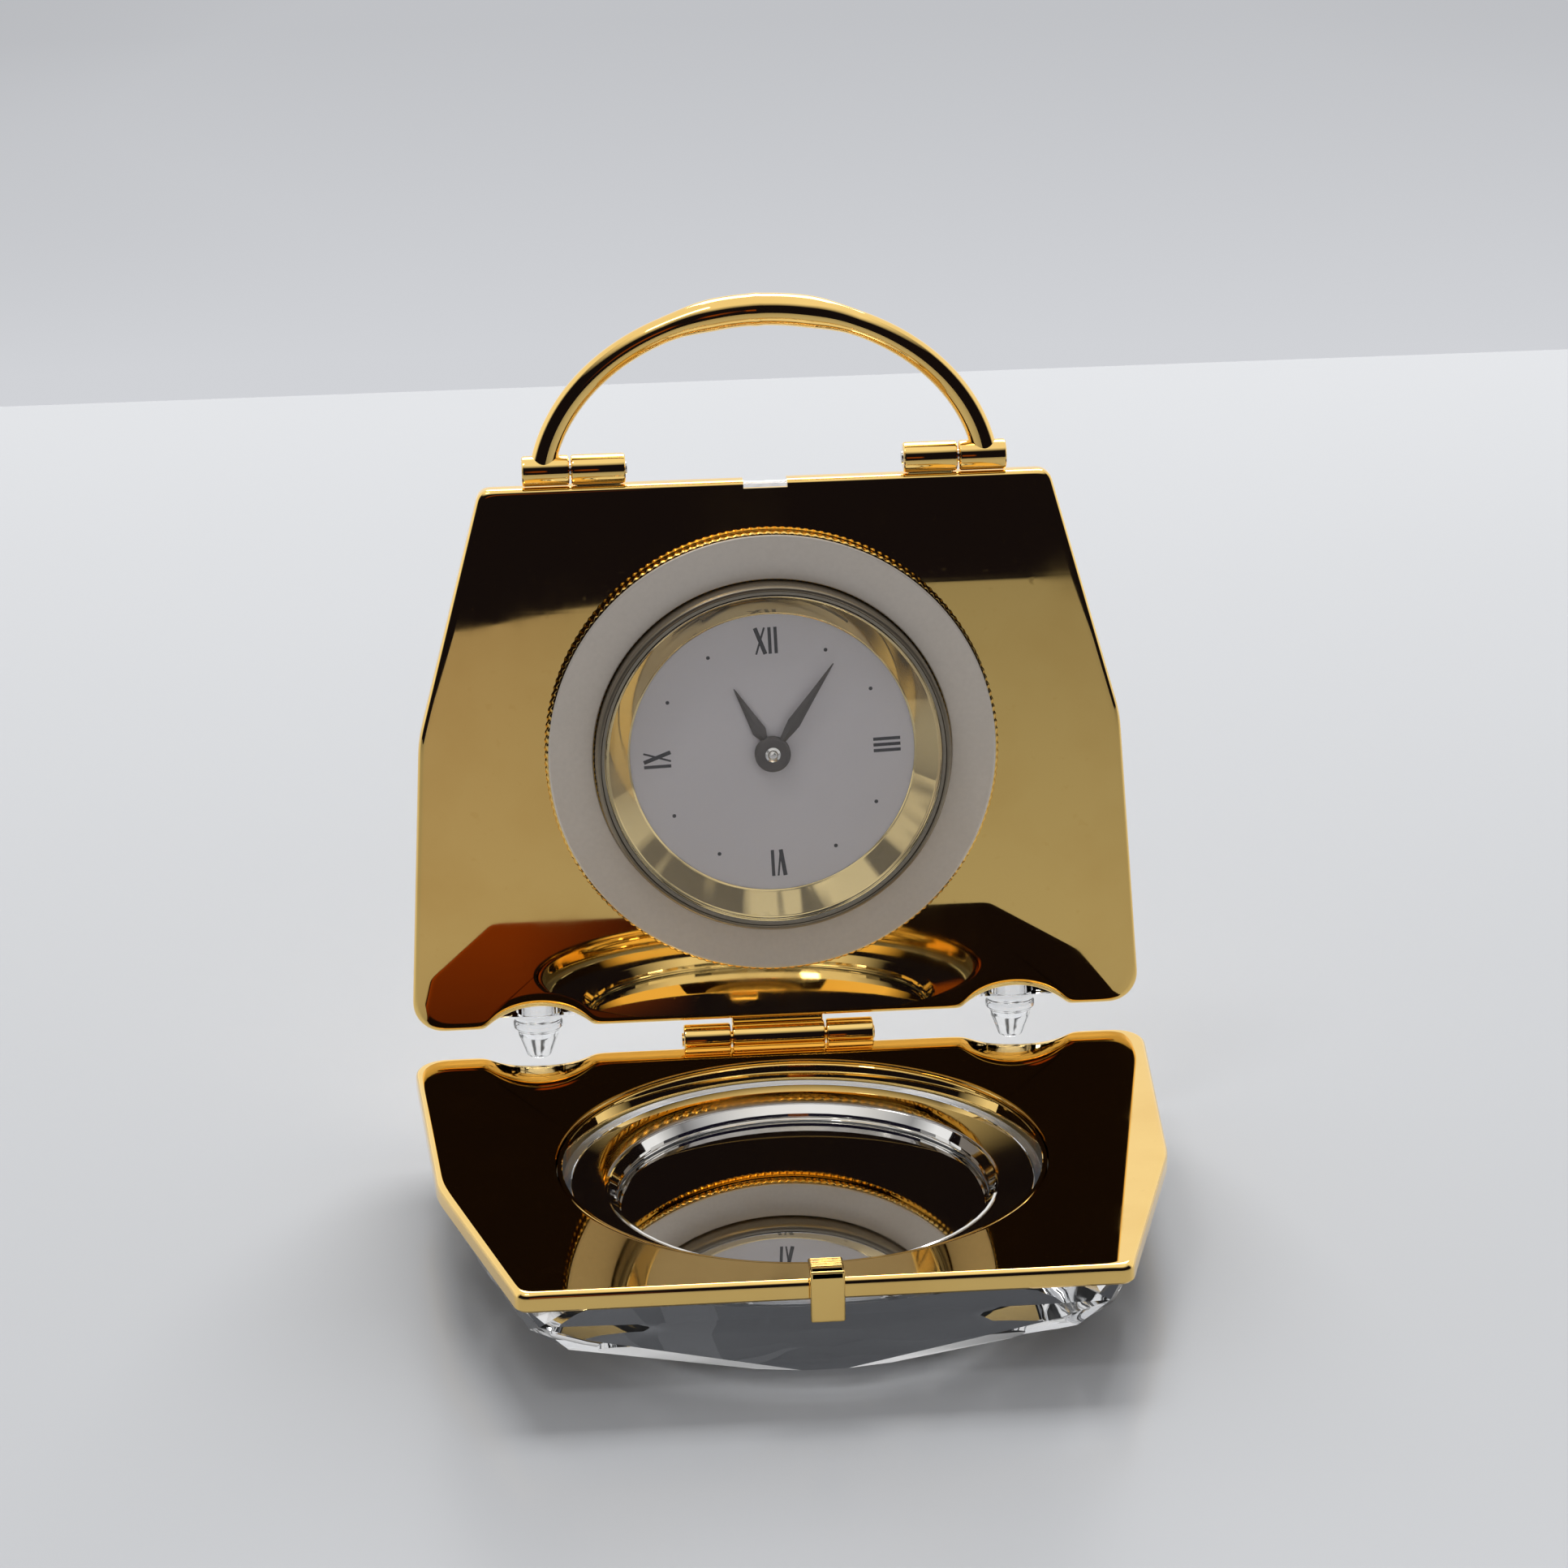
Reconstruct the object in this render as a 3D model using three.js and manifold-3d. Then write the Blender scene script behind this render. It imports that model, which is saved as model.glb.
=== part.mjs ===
// Miniature handbag-shaped desk clock. Two half shells, each a gold-plated frame with a cut
// crystal glued behind it, open like a book on a bottom hinge: the front half lies flat with
// its crystal on the table and holds a round mirror, the back half stands up and carries a
// small insert clock.
//
// Millimetres, +X to the right, +Y to the back, +Z up. The origin is the centre of the flat
// facet that the front half lies on. Each half is drawn in its own flat frame: x across,
// y up the bag from the hinge axis, z out of its inner face, with that face at z = 0.
import * as THREE from "three";
import { ConvexGeometry } from "three/addons/geometries/ConvexGeometry.js";
import { mergeVertices } from "three/addons/utils/BufferGeometryUtils.js";
import Module from "manifold-3d";

const wasm = await Module();
wasm.setup();

// ---- bag outline -----------------------------------------------------------------------
const bottomWidth = 44.2;
const kneeWidth = 42.0;
const topWidth = 33.7;
const kneeRise = 18.2;
const bagHeight = 33.3;
const bottomCornerRadius = 1.8;
const kneeRadius = 9.0;
const topCornerRadius = 0.8;
const halfDepth = 6.4;
const openAngle = 94.4;

// ---- frames ----------------------------------------------------------------------------
const frameThickness = 1.2;
const frameBevel = 0.3;
const scallopSpacing = 28.9;
const scallopWidth = 6.6;
const scallopRise = 1.3;
const seatGap = 0.06;
const runningGap = 0.05;

// ---- bottom hinge ----------------------------------------------------------------------
const hingeRadius = 0.93;
const hingeLength = 11.5;
const centreKnuckleLength = 5.6;
const hingePinRadius = 0.42;
const hingeEdgeGap = 0.19;
const hingeLeafThickness = 0.5;
const hingeLeafDepth = 1.5;
const knuckleGap = 0.1;

// ---- crystals --------------------------------------------------------------------------
const crystalInset = 0.9;
const girdleInset = 1.3;
const girdleShare = 0.45;
const tableRadius = 14.5;
const crystalCornerCut = 2.4;
const recessRadius = 10.9;
const recessDepth = 2.2;
const recessTaper = 0.15;
const mirrorThickness = 0.5;
const surroundWidth = 2.4;
const surroundDrop = 0.45;
const surroundThickness = 0.25;

// ---- feet ------------------------------------------------------------------------------
const footRadius = 1.5;
const footRound = 0.65;
const footDepth = frameThickness + footRadius + runningGap;
const footDrop = 1.5;
const footSocket = 0.9;

// ---- handle ----------------------------------------------------------------------------
const wireRadius = 0.75;
const handleAxisRise = 0.95;
const handleRise = 9.15;
const handleHalfSpan = 13.1;
const handleSquareness = 1.5;
const lugRadius = 0.9;
const lugInner = 8.2;
const lugSplit = 11.4;
const lugOuter = 14.3;
const handlePinRadius = 0.38;
const handlePinInset = 0.2;
const gripRadius = 1.0;
const gripHalfAngle = 25;

// ---- clasp -----------------------------------------------------------------------------
const claspWidth = 1.9;
const claspThickness = 0.6;
const claspStandOff = 0.3;
const claspTop = 0.9;
const claspDrop = 2.15;
const claspReach = 1.0;
const tongueThickness = 0.5;
const claspPinRadius = 0.22;
const claspEyeRadius = 0.42;
const claspEyeWidth = 1.1;
const claspArmThickness = 0.6;
const claspPinDepth = 0.65;
const claspPinInset = 0.5;
const claspPinLength = 2.6;
const catchLip = 0.3;
const catchTrim = 0.45;
const catchClearance = 0.35;

// ---- insert clock ----------------------------------------------------------------------
const clockRise = 16.85;
const dialTurn = 1.8;
const bezelRadius = 13.55;
const bezelThickness = 0.75;
const knurlCount = 180;
const knurlDepth = 0.14;
const windowClearance = 0.22;
const windowRimThickness = 0.3;
const windowRimSink = 0.12;
const caseRadius = bezelRadius - 1.65;
const caseWall = 0.6;
const caseDepth = 5.2;
const caseBackThickness = 0.35;
const caseSealThickness = 0.25;
const caseSealWidth = 0.7;
const boreFloor = 0.3;
const mountRingThickness = 0.45;
const mountRingHeight = 1.0;
const paleRingInner = caseRadius - 1.24;
const paleRingThickness = 0.15;
const paleRingMargin = 0.45;
const glassRadius = paleRingInner - 0.66;
const rimRise = 1.5;
const glassThickness = 0.6;
const glassSealWidth = 0.2;
const dialOpening = glassRadius - 1.5;
const coneFootHeight = 0.1;
const dialLevel = 0.35;
const dialRadius = dialOpening + 1.1;
const dialThickness = 0.18;
const dialHoleRadius = 0.78;

// ---- movement --------------------------------------------------------------------------
const movementRadius = 8.8;
const holderGap = 0.1;
const mainPlateThickness = 1.2;
const motionSpace = 0.72;
const gearModule = 0.12;
const cannonTeeth = 10;
const minuteWheelTeeth = 30;
const minutePinionTeeth = 8;
const hourWheelTeeth = 32;
const gearThickness = 0.24;
const gearGap = 0.05;
const cannonRadius = 0.34;
const hourPipeWall = 0.18;
const minutePostRadius = 0.2;
const minuteWheelBearing = 210;
const minuteHandLength = dialOpening - 1.9;
const hourHandLength = minuteHandLength - 2.0;
const hourHandWidth = 0.8;
const minuteHandWidth = 0.74;
const handBossRadius = 1.07;
const handNeckWidth = 0.42;
const handTipWidth = 0.12;
const handBelly = 0.36;
const handThickness = 0.12;
const handGap = 0.2;
const arborTipLength = 0.15;
const postRoot = 0.3;
const hourHandAngle = 333;
const minuteHandAngle = 36;
const batteryX = -3.3;
const batteryY = -3.2;
const batteryRadius = 3.95;
const batteryThickness = 2.1;
const clipWidth = 1.8;
const clipThickness = 0.12;
const statorLength = 10.4;
const statorWidth = 2.4;
const statorThickness = 0.25;
const statorY = 5.2;
const rotorX = 2.6;
const rotorHoleRadius = 0.8;
const coilRadius = 0.62;
const coilLength = 6.6;
const coilY = 6.0;
const boardThickness = 0.2;
const boardLeft = -7.0;
const boardRight = -1.0;
const boardLow = 1.4;
const boardHigh = 3.6;
const quartzRadius = 0.55;
const quartzY = 2.5;
const quartzInset = 0.6;
const quartzLength = 4.2;
const trainThickness = 2.2;
const trainLeft = 1.2;
const trainRight = 4.8;
const trainLow = -5.8;
const trainHigh = 2.8;
const stemRadius = 0.4;
const stemInnerEnd = 5.2;
const stemDepth = 3.65;
const crownRadius = 1.1;
const crownLength = 1.3;
const crownSocket = 0.5;
const crownTravel = 0.7;
const crownFlutes = 18;
const crownFluteDepth = 0.08;

// ---- places worked out from the sizes above --------------------------------------------
const bottomEdge = hingeRadius + hingeEdgeGap;
const topEdge = bottomEdge + bagHeight;
const clockY = bottomEdge + clockRise;
const windowRimOuter = bezelRadius + windowClearance + windowRimThickness;
const windowRadius = windowRimOuter + seatGap;
const mountRingRadius = caseRadius + runningGap + mountRingThickness;
const boreRadius = mountRingRadius + seatGap;
const crystalTop = -frameThickness - seatGap;
const handleAxisY = topEdge + handleAxisRise;
const handleAxisZ = -frameThickness / 2;
const claspPinY = topEdge - claspPinInset;
const claspPinZ = -claspPinDepth;
const minuteDistance = (gearModule * (cannonTeeth + minuteWheelTeeth)) / 2;

// ---- finishes --------------------------------------------------------------------------
const finishes = {
  gold: [0xc79a4b, 0.12, 1],
  paleSatin: [0xb9ab98, 0.45, 0.85],
  crystal: [0xe6e2dc, 0.03, 0],
  mirror: [0xdadada, 0.02, 1],
  dial: [0xd8d4d6, 0.35, 0],
  hand: [0x45403c, 0.35, 0.6],
  steel: [0xb9bcc0, 0.25, 1],
  rubber: [0x202020, 0.8, 0],
  whitePlastic: [0xdedbd2, 0.5, 0],
  board: [0x2f6b45, 0.5, 0],
  copper: [0xb4693a, 0.35, 1],
  brass: [0xcaa35c, 0.3, 1],
};

// ---- building blocks -------------------------------------------------------------------

// A closed body: vertices shared, and triangles that fold to a line left out.
function closedBody(geometry) {
  const bare = geometry.clone();
  bare.deleteAttribute("normal");
  bare.deleteAttribute("uv");
  const merged = mergeVertices(bare, 1e-5);
  const corners = merged.index.array;
  const kept = [];
  for (let i = 0; i < corners.length; i += 3) {
    const [a, b, c] = [corners[i], corners[i + 1], corners[i + 2]];
    if (a !== b && b !== c && c !== a) kept.push(a, b, c);
  }
  merged.setIndex(kept);
  return merged;
}

function toSolid(geometry) {
  const body = closedBody(geometry);
  const vertProperties = new Float32Array(body.getAttribute("position").array);
  const triVerts = new Uint32Array(body.index.array);
  return new wasm.Manifold(new wasm.Mesh({ numProp: 3, vertProperties, triVerts }));
}

function toGeometry(solid) {
  const mesh = solid.getMesh();
  const geometry = new THREE.BufferGeometry();
  geometry.setAttribute("position", new THREE.BufferAttribute(new Float32Array(mesh.vertProperties), 3));
  geometry.setIndex(Array.from(mesh.triVerts));
  return geometry;
}

function cut(base, ...tools) {
  return toGeometry(tools.reduce((solid, tool) => solid.subtract(toSolid(tool)), toSolid(base)));
}

function join(...pieces) {
  return toGeometry(pieces.map(toSolid).reduce((sum, solid) => sum.add(solid)));
}

function addPiece(group, name, geometry, finish) {
  const [color, roughness, metalness] = finishes[finish];
  const body = closedBody(geometry);
  body.computeVertexNormals();
  const mesh = new THREE.Mesh(body, new THREE.MeshStandardMaterial({ color, roughness, metalness }));
  mesh.name = name;
  group.add(mesh);
  return mesh;
}

// A flat shape given thickness from z = low to z = high, its edges eased by bevel.
function slab(shape, low, high, bevel = 0) {
  const geometry = new THREE.ExtrudeGeometry(shape, {
    depth: high - low - 2 * bevel,
    bevelEnabled: bevel > 0,
    bevelThickness: bevel,
    bevelSize: bevel,
    bevelOffset: -bevel,
    bevelSegments: 1,
  });
  return geometry.translate(0, 0, low + bevel);
}

function block(x0, x1, y0, y1, z0, z1) {
  const geometry = new THREE.BoxGeometry(x1 - x0, y1 - y0, z1 - z0);
  return geometry.translate((x0 + x1) / 2, (y0 + y1) / 2, (z0 + z1) / 2);
}

// A turned body about z. The profile is [radius, z] pairs, anticlockwise, and closes on itself.
function turned(profile, sides = 48) {
  const points = profile.map(([radius, z]) => new THREE.Vector2(radius, z));
  if (profile[0][0] > 0) points.push(points[0].clone());
  return new THREE.LatheGeometry(points, sides).rotateX(Math.PI / 2);
}

function disc(radius, low, high, sides = 48) {
  return turned([[0, low], [radius, low], [radius, high], [0, high]], sides);
}

function ring(inner, outer, low, high, sides = 48) {
  return turned([[inner, low], [outer, low], [outer, high], [inner, high]], sides);
}

// A round bar or a bush along x, from x0 to x1.
function barAlongX(radius, x0, x1, y, z, sides = 24) {
  return disc(radius, x0, x1, sides).rotateY(Math.PI / 2).translate(0, y, z);
}

function bushAlongX(inner, outer, x0, x1, y, z, sides = 24) {
  return ring(inner, outer, x0, x1, sides).rotateY(Math.PI / 2).translate(0, y, z);
}

// The points of an arc that rounds the corner at b, tangent to its two edges.
function roundedCorner(a, b, c, radius, steps) {
  const toA = a.clone().sub(b).normalize();
  const toC = c.clone().sub(b).normalize();
  const halfAngle = Math.acos(THREE.MathUtils.clamp(toA.dot(toC), -1, 1)) / 2;
  const reach = radius / Math.tan(halfAngle);
  const start = b.clone().addScaledVector(toA, reach);
  const end = b.clone().addScaledVector(toC, reach);
  const bisector = toA.clone().add(toC).normalize();
  const centre = b.clone().addScaledVector(bisector, radius / Math.sin(halfAngle));
  const first = start.clone().sub(centre).angle();
  let sweep = end.clone().sub(centre).angle() - first;
  if (sweep > Math.PI) sweep -= 2 * Math.PI;
  if (sweep < -Math.PI) sweep += 2 * Math.PI;
  const points = [];
  for (let i = 0; i <= steps; i++) {
    const angle = first + (sweep * i) / steps;
    points.push(new THREE.Vector2(Math.cos(angle), Math.sin(angle)).multiplyScalar(radius).add(centre));
  }
  return points;
}

// The shallow round-topped notch in the bottom edge, left to right, centred on x.
function scallop(x) {
  const half = scallopWidth / 2;
  const radius = (half * half + scallopRise * scallopRise) / (2 * scallopRise);
  const centreY = bottomEdge + scallopRise - radius;
  const reach = Math.asin(half / radius);
  const points = [];
  for (let i = 0; i <= 10; i++) {
    const angle = -reach + (2 * reach * i) / 10;
    points.push(new THREE.Vector2(x + radius * Math.sin(angle), centreY + radius * Math.cos(angle)));
  }
  return points;
}

// The bag outline, anticlockwise from the bottom left, with its corners rounded.
function bagOutline() {
  const knee = bottomEdge + kneeRise;
  const corners = [
    [-bottomWidth / 2, bottomEdge, bottomCornerRadius, 5],
    [bottomWidth / 2, bottomEdge, bottomCornerRadius, 5],
    [kneeWidth / 2, knee, kneeRadius, 4],
    [topWidth / 2, topEdge, topCornerRadius, 4],
    [-topWidth / 2, topEdge, topCornerRadius, 4],
    [-kneeWidth / 2, knee, kneeRadius, 4],
  ];
  const vertices = corners.map(([x, y]) => new THREE.Vector2(x, y));
  const points = [];
  corners.forEach(([, , radius, steps], i) => {
    const before = vertices[(i + corners.length - 1) % corners.length];
    const after = vertices[(i + 1) % corners.length];
    points.push(...roundedCorner(before, vertices[i], after, radius, steps));
    if (i === 0) points.push(...scallop(-scallopSpacing / 2), ...scallop(scallopSpacing / 2));
  });
  return points;
}

function circlePoints(radius, sides, x = 0, y = 0) {
  const points = [];
  for (let i = 0; i < sides; i++) {
    const angle = (2 * Math.PI * i) / sides;
    points.push(new THREE.Vector2(x + radius * Math.cos(angle), y + radius * Math.sin(angle)));
  }
  return points;
}

function addHole(shape, radius, sides, x = 0, y = 0) {
  shape.holes.push(new THREE.Path(circlePoints(radius, sides, x, y).reverse()));
}

// ---- frames and hinge ------------------------------------------------------------------

function framePlate(holeRadius) {
  const shape = new THREE.Shape(bagOutline());
  addHole(shape, holeRadius, 56, 0, clockY);
  return slab(shape, -frameThickness, 0, frameBevel);
}

// The slot in a frame's bottom edge that a hinge leaf is soldered into.
function leafSlot(x0, x1) {
  const middle = -frameThickness / 2;
  const half = hingeLeafThickness / 2 + seatGap;
  const top = bottomEdge + hingeLeafDepth + seatGap;
  return block(x0 - seatGap, x1 + seatGap, 0, top, middle - half, middle + half);
}

// One knuckle of the bottom hinge, with its leaf up into the frame.
function hingeKnuckle(x0, x1) {
  const middle = -frameThickness / 2;
  const half = hingeLeafThickness / 2;
  const leaf = block(x0, x1, 0, bottomEdge + hingeLeafDepth, middle - half, middle + half);
  const barrel = barAlongX(hingeRadius, x0, x1, 0, 0);
  const bore = barAlongX(hingePinRadius + runningGap, x0 - 1, x1 + 1, 0, 0);
  return cut(join(leaf, barrel), bore);
}

// The side knuckle on the +x side runs from the centre knuckle to the end of the hinge.
function sideKnuckleSpan() {
  return [centreKnuckleLength / 2 + knuckleGap, hingeLength / 2];
}

function frontFrame() {
  const [inner, outer] = sideKnuckleSpan();
  const pinHole = barAlongX(
    claspPinRadius + runningGap,
    -claspPinLength / 2 - seatGap,
    claspPinLength / 2 + seatGap,
    claspPinY,
    claspPinZ,
  );
  const pocketHalf = claspEyeWidth / 2 + 2 * seatGap;
  const eyeRoom = claspEyeRadius + 2 * seatGap;
  const pocket = block(
    -pocketHalf,
    pocketHalf,
    claspPinY - eyeRoom,
    topEdge + 1,
    -frameThickness - 1,
    claspPinZ + eyeRoom,
  );
  return cut(framePlate(windowRadius), leafSlot(inner, outer), leafSlot(-outer, -inner), pinHole, pocket);
}

// The thin bright ring that lines the window, just below the inner face.
function windowRim() {
  const inner = windowRimOuter - windowRimThickness;
  return ring(inner, windowRimOuter, -frameThickness, -windowRimSink, 56).translate(0, clockY, 0);
}

// The back frame's top edge is relieved from behind so that the clasp's tongue hooks its lip.
function backFrame() {
  const half = claspWidth / 2 + catchClearance;
  const lipEdge = topEdge - catchTrim;
  const tongueRoom = topEdge - claspReach - catchClearance;
  const behind = block(-half, half, tongueRoom, topEdge + 1, -frameThickness - 1, -catchLip);
  const trim = block(-half, half, lipEdge, topEdge + 1, -frameThickness, 1);
  const centre = centreKnuckleLength / 2;
  return cut(framePlate(boreRadius), leafSlot(-centre, centre), behind, trim);
}

// ---- crystals --------------------------------------------------------------------------

// The bag's corners pulled in by inset, each cut off as a facet.
function crystalRing(inset, z) {
  const knee = bottomEdge + kneeRise;
  const corners = [
    [-bottomWidth / 2 + inset, bottomEdge + inset],
    [bottomWidth / 2 - inset, bottomEdge + inset],
    [kneeWidth / 2 - inset, knee],
    [topWidth / 2 - inset, topEdge - inset],
    [-topWidth / 2 + inset, topEdge - inset],
    [-kneeWidth / 2 + inset, knee],
  ].map(([x, y]) => new THREE.Vector2(x, y));
  const points = [];
  corners.forEach((corner, i) => {
    for (const step of [corners.length - 1, 1]) {
      const toward = corners[(i + step) % corners.length].clone().sub(corner).normalize();
      const point = corner.clone().addScaledVector(toward, crystalCornerCut);
      points.push(new THREE.Vector3(point.x, point.y, z));
    }
  });
  return points;
}

// A cut crystal: the bag outline at the frame, a girdle below it and a round flat table.
function crystalBlank() {
  const girdleZ = crystalTop - (halfDepth + crystalTop) * girdleShare;
  const points = [...crystalRing(crystalInset, crystalTop), ...crystalRing(girdleInset, girdleZ)];
  const tableSides = 36;
  for (let i = 0; i < tableSides; i++) {
    const angle = (2 * Math.PI * i) / tableSides;
    const x = tableRadius * Math.cos(angle);
    const y = clockY + tableRadius * Math.sin(angle);
    points.push(new THREE.Vector3(x, y, -halfDepth));
  }
  return new ConvexGeometry(points);
}

function footSockets() {
  const radius = footRadius + seatGap;
  const top = bottomEdge + girdleInset + footSocket + seatGap;
  return [-1, 1].map((side) =>
    disc(radius, -footDrop - 1, top, 24)
      .rotateX(-Math.PI / 2)
      .translate((side * scallopSpacing) / 2, 0, -footDepth),
  );
}

function recessFloor() {
  return crystalTop - recessDepth;
}

// The recess in the front crystal: a shallow cone under the window, then a straight well.
function frontCrystal() {
  const floor = recessFloor();
  const outer = recessRadius + surroundWidth + seatGap;
  const seat = crystalTop - surroundThickness - seatGap;
  const dish = turned(
    [
      [0, floor],
      [recessRadius - recessTaper, floor],
      [recessRadius, seat - surroundDrop],
      [outer, seat],
      [outer, 1],
      [0, 1],
    ],
    64,
  ).translate(0, clockY, 0);
  return cut(crystalBlank(), dish, ...footSockets());
}

// The silvered ring that slopes in from the window to the mirror's well.
function mirrorSurround() {
  const outer = recessRadius + surroundWidth;
  const back = crystalTop - surroundThickness;
  const profile = [
    [recessRadius, back - surroundDrop],
    [outer, back],
    [outer, crystalTop],
    [recessRadius, crystalTop - surroundDrop],
  ];
  return turned(profile, 64).translate(0, clockY, 0);
}

// The round mirror bedded on the floor of the front crystal's recess.
function frontMirror() {
  const back = recessFloor() + seatGap;
  const radius = recessRadius - recessTaper - seatGap;
  return disc(radius, back, back + mirrorThickness, 64).translate(0, clockY, 0);
}

// The back crystal is bored for the insert clock, with a side pocket for its crown.
function backCrystal() {
  const bore = disc(boreRadius, -caseDepth - boreFloor, 1, 64).translate(0, clockY, 0);
  const room = crownRadius + 4 * seatGap;
  const reach = crownOuterEnd() + crownTravel + 4 * seatGap;
  const pocket = block(caseRadius, reach, -room, room, -stemDepth - room, -stemDepth + room)
    .rotateZ(THREE.MathUtils.degToRad(dialTurn))
    .translate(0, clockY, 0);
  return cut(crystalBlank(), bore, pocket, ...footSockets());
}

// A clear round cup foot, pointing down the bag.
function foot(side) {
  const top = bottomEdge + girdleInset + footSocket;
  const profile = [[0, -footDrop]];
  for (let i = 0; i <= 4; i++) {
    const angle = (Math.PI / 2) * (i / 4);
    const radius = footRadius - footRound * (1 - Math.sin(angle));
    profile.push([radius, -footDrop + footRound * (1 - Math.cos(angle))]);
  }
  profile.push([footRadius, top], [0, top]);
  return turned(profile, 24)
    .rotateX(-Math.PI / 2)
    .translate((side * scallopSpacing) / 2, 0, -footDepth);
}

// ---- handle ----------------------------------------------------------------------------

// The handle's centre line: the upper part of an ellipse centred a little below its axis.
class BowCurve extends THREE.Curve {
  constructor(from, to) {
    super();
    this.from = from;
    this.to = to;
  }

  getPoint(t, target = new THREE.Vector3()) {
    const angle = this.from + (this.to - this.from) * t;
    const rise = handleRise + handleSquareness;
    const span = handleHalfSpan / Math.cos(Math.asin(handleSquareness / rise));
    const y = handleAxisY - handleSquareness + rise * Math.sin(angle);
    return target.set(span * Math.cos(angle), y, handleAxisZ);
  }
}

function alongCurve(shape, curve, steps) {
  return new THREE.ExtrudeGeometry(shape, { steps, extrudePath: curve, bevelEnabled: false });
}

// The bow ends in saddles that sit on the two moving knuckles.
function handleBow() {
  const start = Math.asin(handleSquareness / (handleRise + handleSquareness));
  const wire = new THREE.Shape(circlePoints(wireRadius, 12));
  const bow = alongCurve(wire, new BowCurve(start, Math.PI - start), 24);
  const saddle = lugRadius + seatGap;
  const left = barAlongX(saddle, -lugOuter - 2, -lugSplit + 2, handleAxisY, handleAxisZ);
  const right = barAlongX(saddle, lugSplit - 2, lugOuter + 2, handleAxisY, handleAxisZ);
  return cut(bow, left, right);
}

// The thicker sleeve at the crest of the bow.
function handleGrip() {
  const half = THREE.MathUtils.degToRad(gripHalfAngle);
  const curve = new BowCurve(Math.PI / 2 - half, Math.PI / 2 + half);
  const shape = new THREE.Shape(circlePoints(gripRadius, 12));
  addHole(shape, wireRadius + seatGap, 12);
  return alongCurve(shape, curve, 10);
}

function movingKnuckle(side) {
  const ends = [side * (lugSplit + knuckleGap), side * lugOuter].sort((a, b) => a - b);
  const bore = handlePinRadius + runningGap;
  return bushAlongX(bore, lugRadius, ends[0], ends[1], handleAxisY, handleAxisZ);
}

// A fixed lug with its foot down to the top edge of the back frame.
function fixedLug(side) {
  const ends = [side * lugInner, side * lugSplit].sort((a, b) => a - b);
  const barrel = barAlongX(lugRadius, ends[0], ends[1], handleAxisY, handleAxisZ);
  const halfFoot = frameThickness / 2 - frameBevel;
  const footBlock = block(
    ends[0],
    ends[1],
    topEdge + seatGap,
    handleAxisY,
    handleAxisZ - halfFoot,
    handleAxisZ + halfFoot,
  );
  const bore = handlePinRadius + runningGap;
  const hole = barAlongX(bore, ends[0] - 1, ends[1] + 1, handleAxisY, handleAxisZ);
  return cut(join(barrel, footBlock), hole);
}

function handlePin(side) {
  const near = lugInner + handlePinInset;
  const far = lugOuter - handlePinInset;
  const ends = [side * near, side * far].sort((a, b) => a - b);
  return barAlongX(handlePinRadius, ends[0], ends[1], handleAxisY, handleAxisZ, 16);
}

// ---- clasp -----------------------------------------------------------------------------

// A rocking tab outside the front frame's top edge: pressing its lower end in swings the
// tongue out. Its eye turns on a pin inside the frame's edge.
function claspHook() {
  const half = claspWidth / 2;
  const inner = topEdge + claspStandOff;
  const outer = inner + claspThickness;
  const tab = block(-half, half, inner, outer, -claspDrop, claspTop);
  const middle = (inner + outer) / 2;
  const tongue = block(-half, half, topEdge - claspReach, middle, claspTop - tongueThickness, claspTop);
  const eyeHalf = claspEyeWidth / 2;
  const eye = barAlongX(claspEyeRadius, -eyeHalf, eyeHalf, claspPinY, claspPinZ);
  const armHalf = claspArmThickness / 2;
  const arm = block(-eyeHalf, eyeHalf, claspPinY, middle, claspPinZ - armHalf, claspPinZ + armHalf);
  const bore = barAlongX(claspPinRadius + runningGap, -half, half, claspPinY, claspPinZ);
  return cut(join(tab, tongue, arm, eye), bore);
}

function claspPin() {
  const half = claspPinLength / 2;
  return barAlongX(claspPinRadius, -half, half, claspPinY, claspPinZ, 16);
}

// ---- insert clock, in its own frame with z out of the dial ------------------------------

// A round outline with small ridges all the way round.
function flutedPoints(radius, ridges, depth) {
  const points = circlePoints(radius, 2 * ridges);
  return points.map((point, i) => point.multiplyScalar(1 - ((i % 2) * depth) / radius));
}

function knurledBezel() {
  const shape = new THREE.Shape(flutedPoints(bezelRadius, knurlCount, knurlDepth));
  addHole(shape, paleRingInner, 48);
  return slab(shape, seatGap, seatGap + bezelThickness);
}

function bezelFront() {
  return seatGap + bezelThickness;
}

function paleRing() {
  const low = bezelFront() + seatGap / 2;
  return ring(paleRingInner, bezelRadius - paleRingMargin, low, low + paleRingThickness, 64);
}

function glassFront() {
  return bezelFront() + rimRise;
}

function glassBack() {
  return glassFront() - glassThickness;
}

function glassSeal() {
  const inner = glassRadius + seatGap;
  return ring(inner, inner + glassSealWidth, glassBack(), glassFront(), 48);
}

// The raised rim that holds the glass, with a polished cone inside it down to the dial.
function coneRing() {
  const neck = paleRingInner - seatGap;
  const seat = glassRadius + glassSealWidth + 2 * seatGap;
  const lip = glassBack() - seatGap;
  const foot = dialFront() + seatGap;
  return turned(
    [
      [dialOpening, foot],
      [neck, foot],
      [neck, glassFront()],
      [seat, glassFront()],
      [seat, lip],
      [glassRadius, lip],
      [dialOpening, foot + coneFootHeight],
    ],
    64,
  );
}

function dialFront() {
  return dialLevel;
}

function dialBack() {
  return dialFront() - dialThickness;
}

// The motion work turns between the dial and the movement's main plate.
function mainPlateFront() {
  return dialBack() - seatGap - motionSpace;
}

function mainPlateBack() {
  return mainPlateFront() - mainPlateThickness;
}

function caseBackFront() {
  return -caseDepth + caseBackThickness;
}

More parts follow.
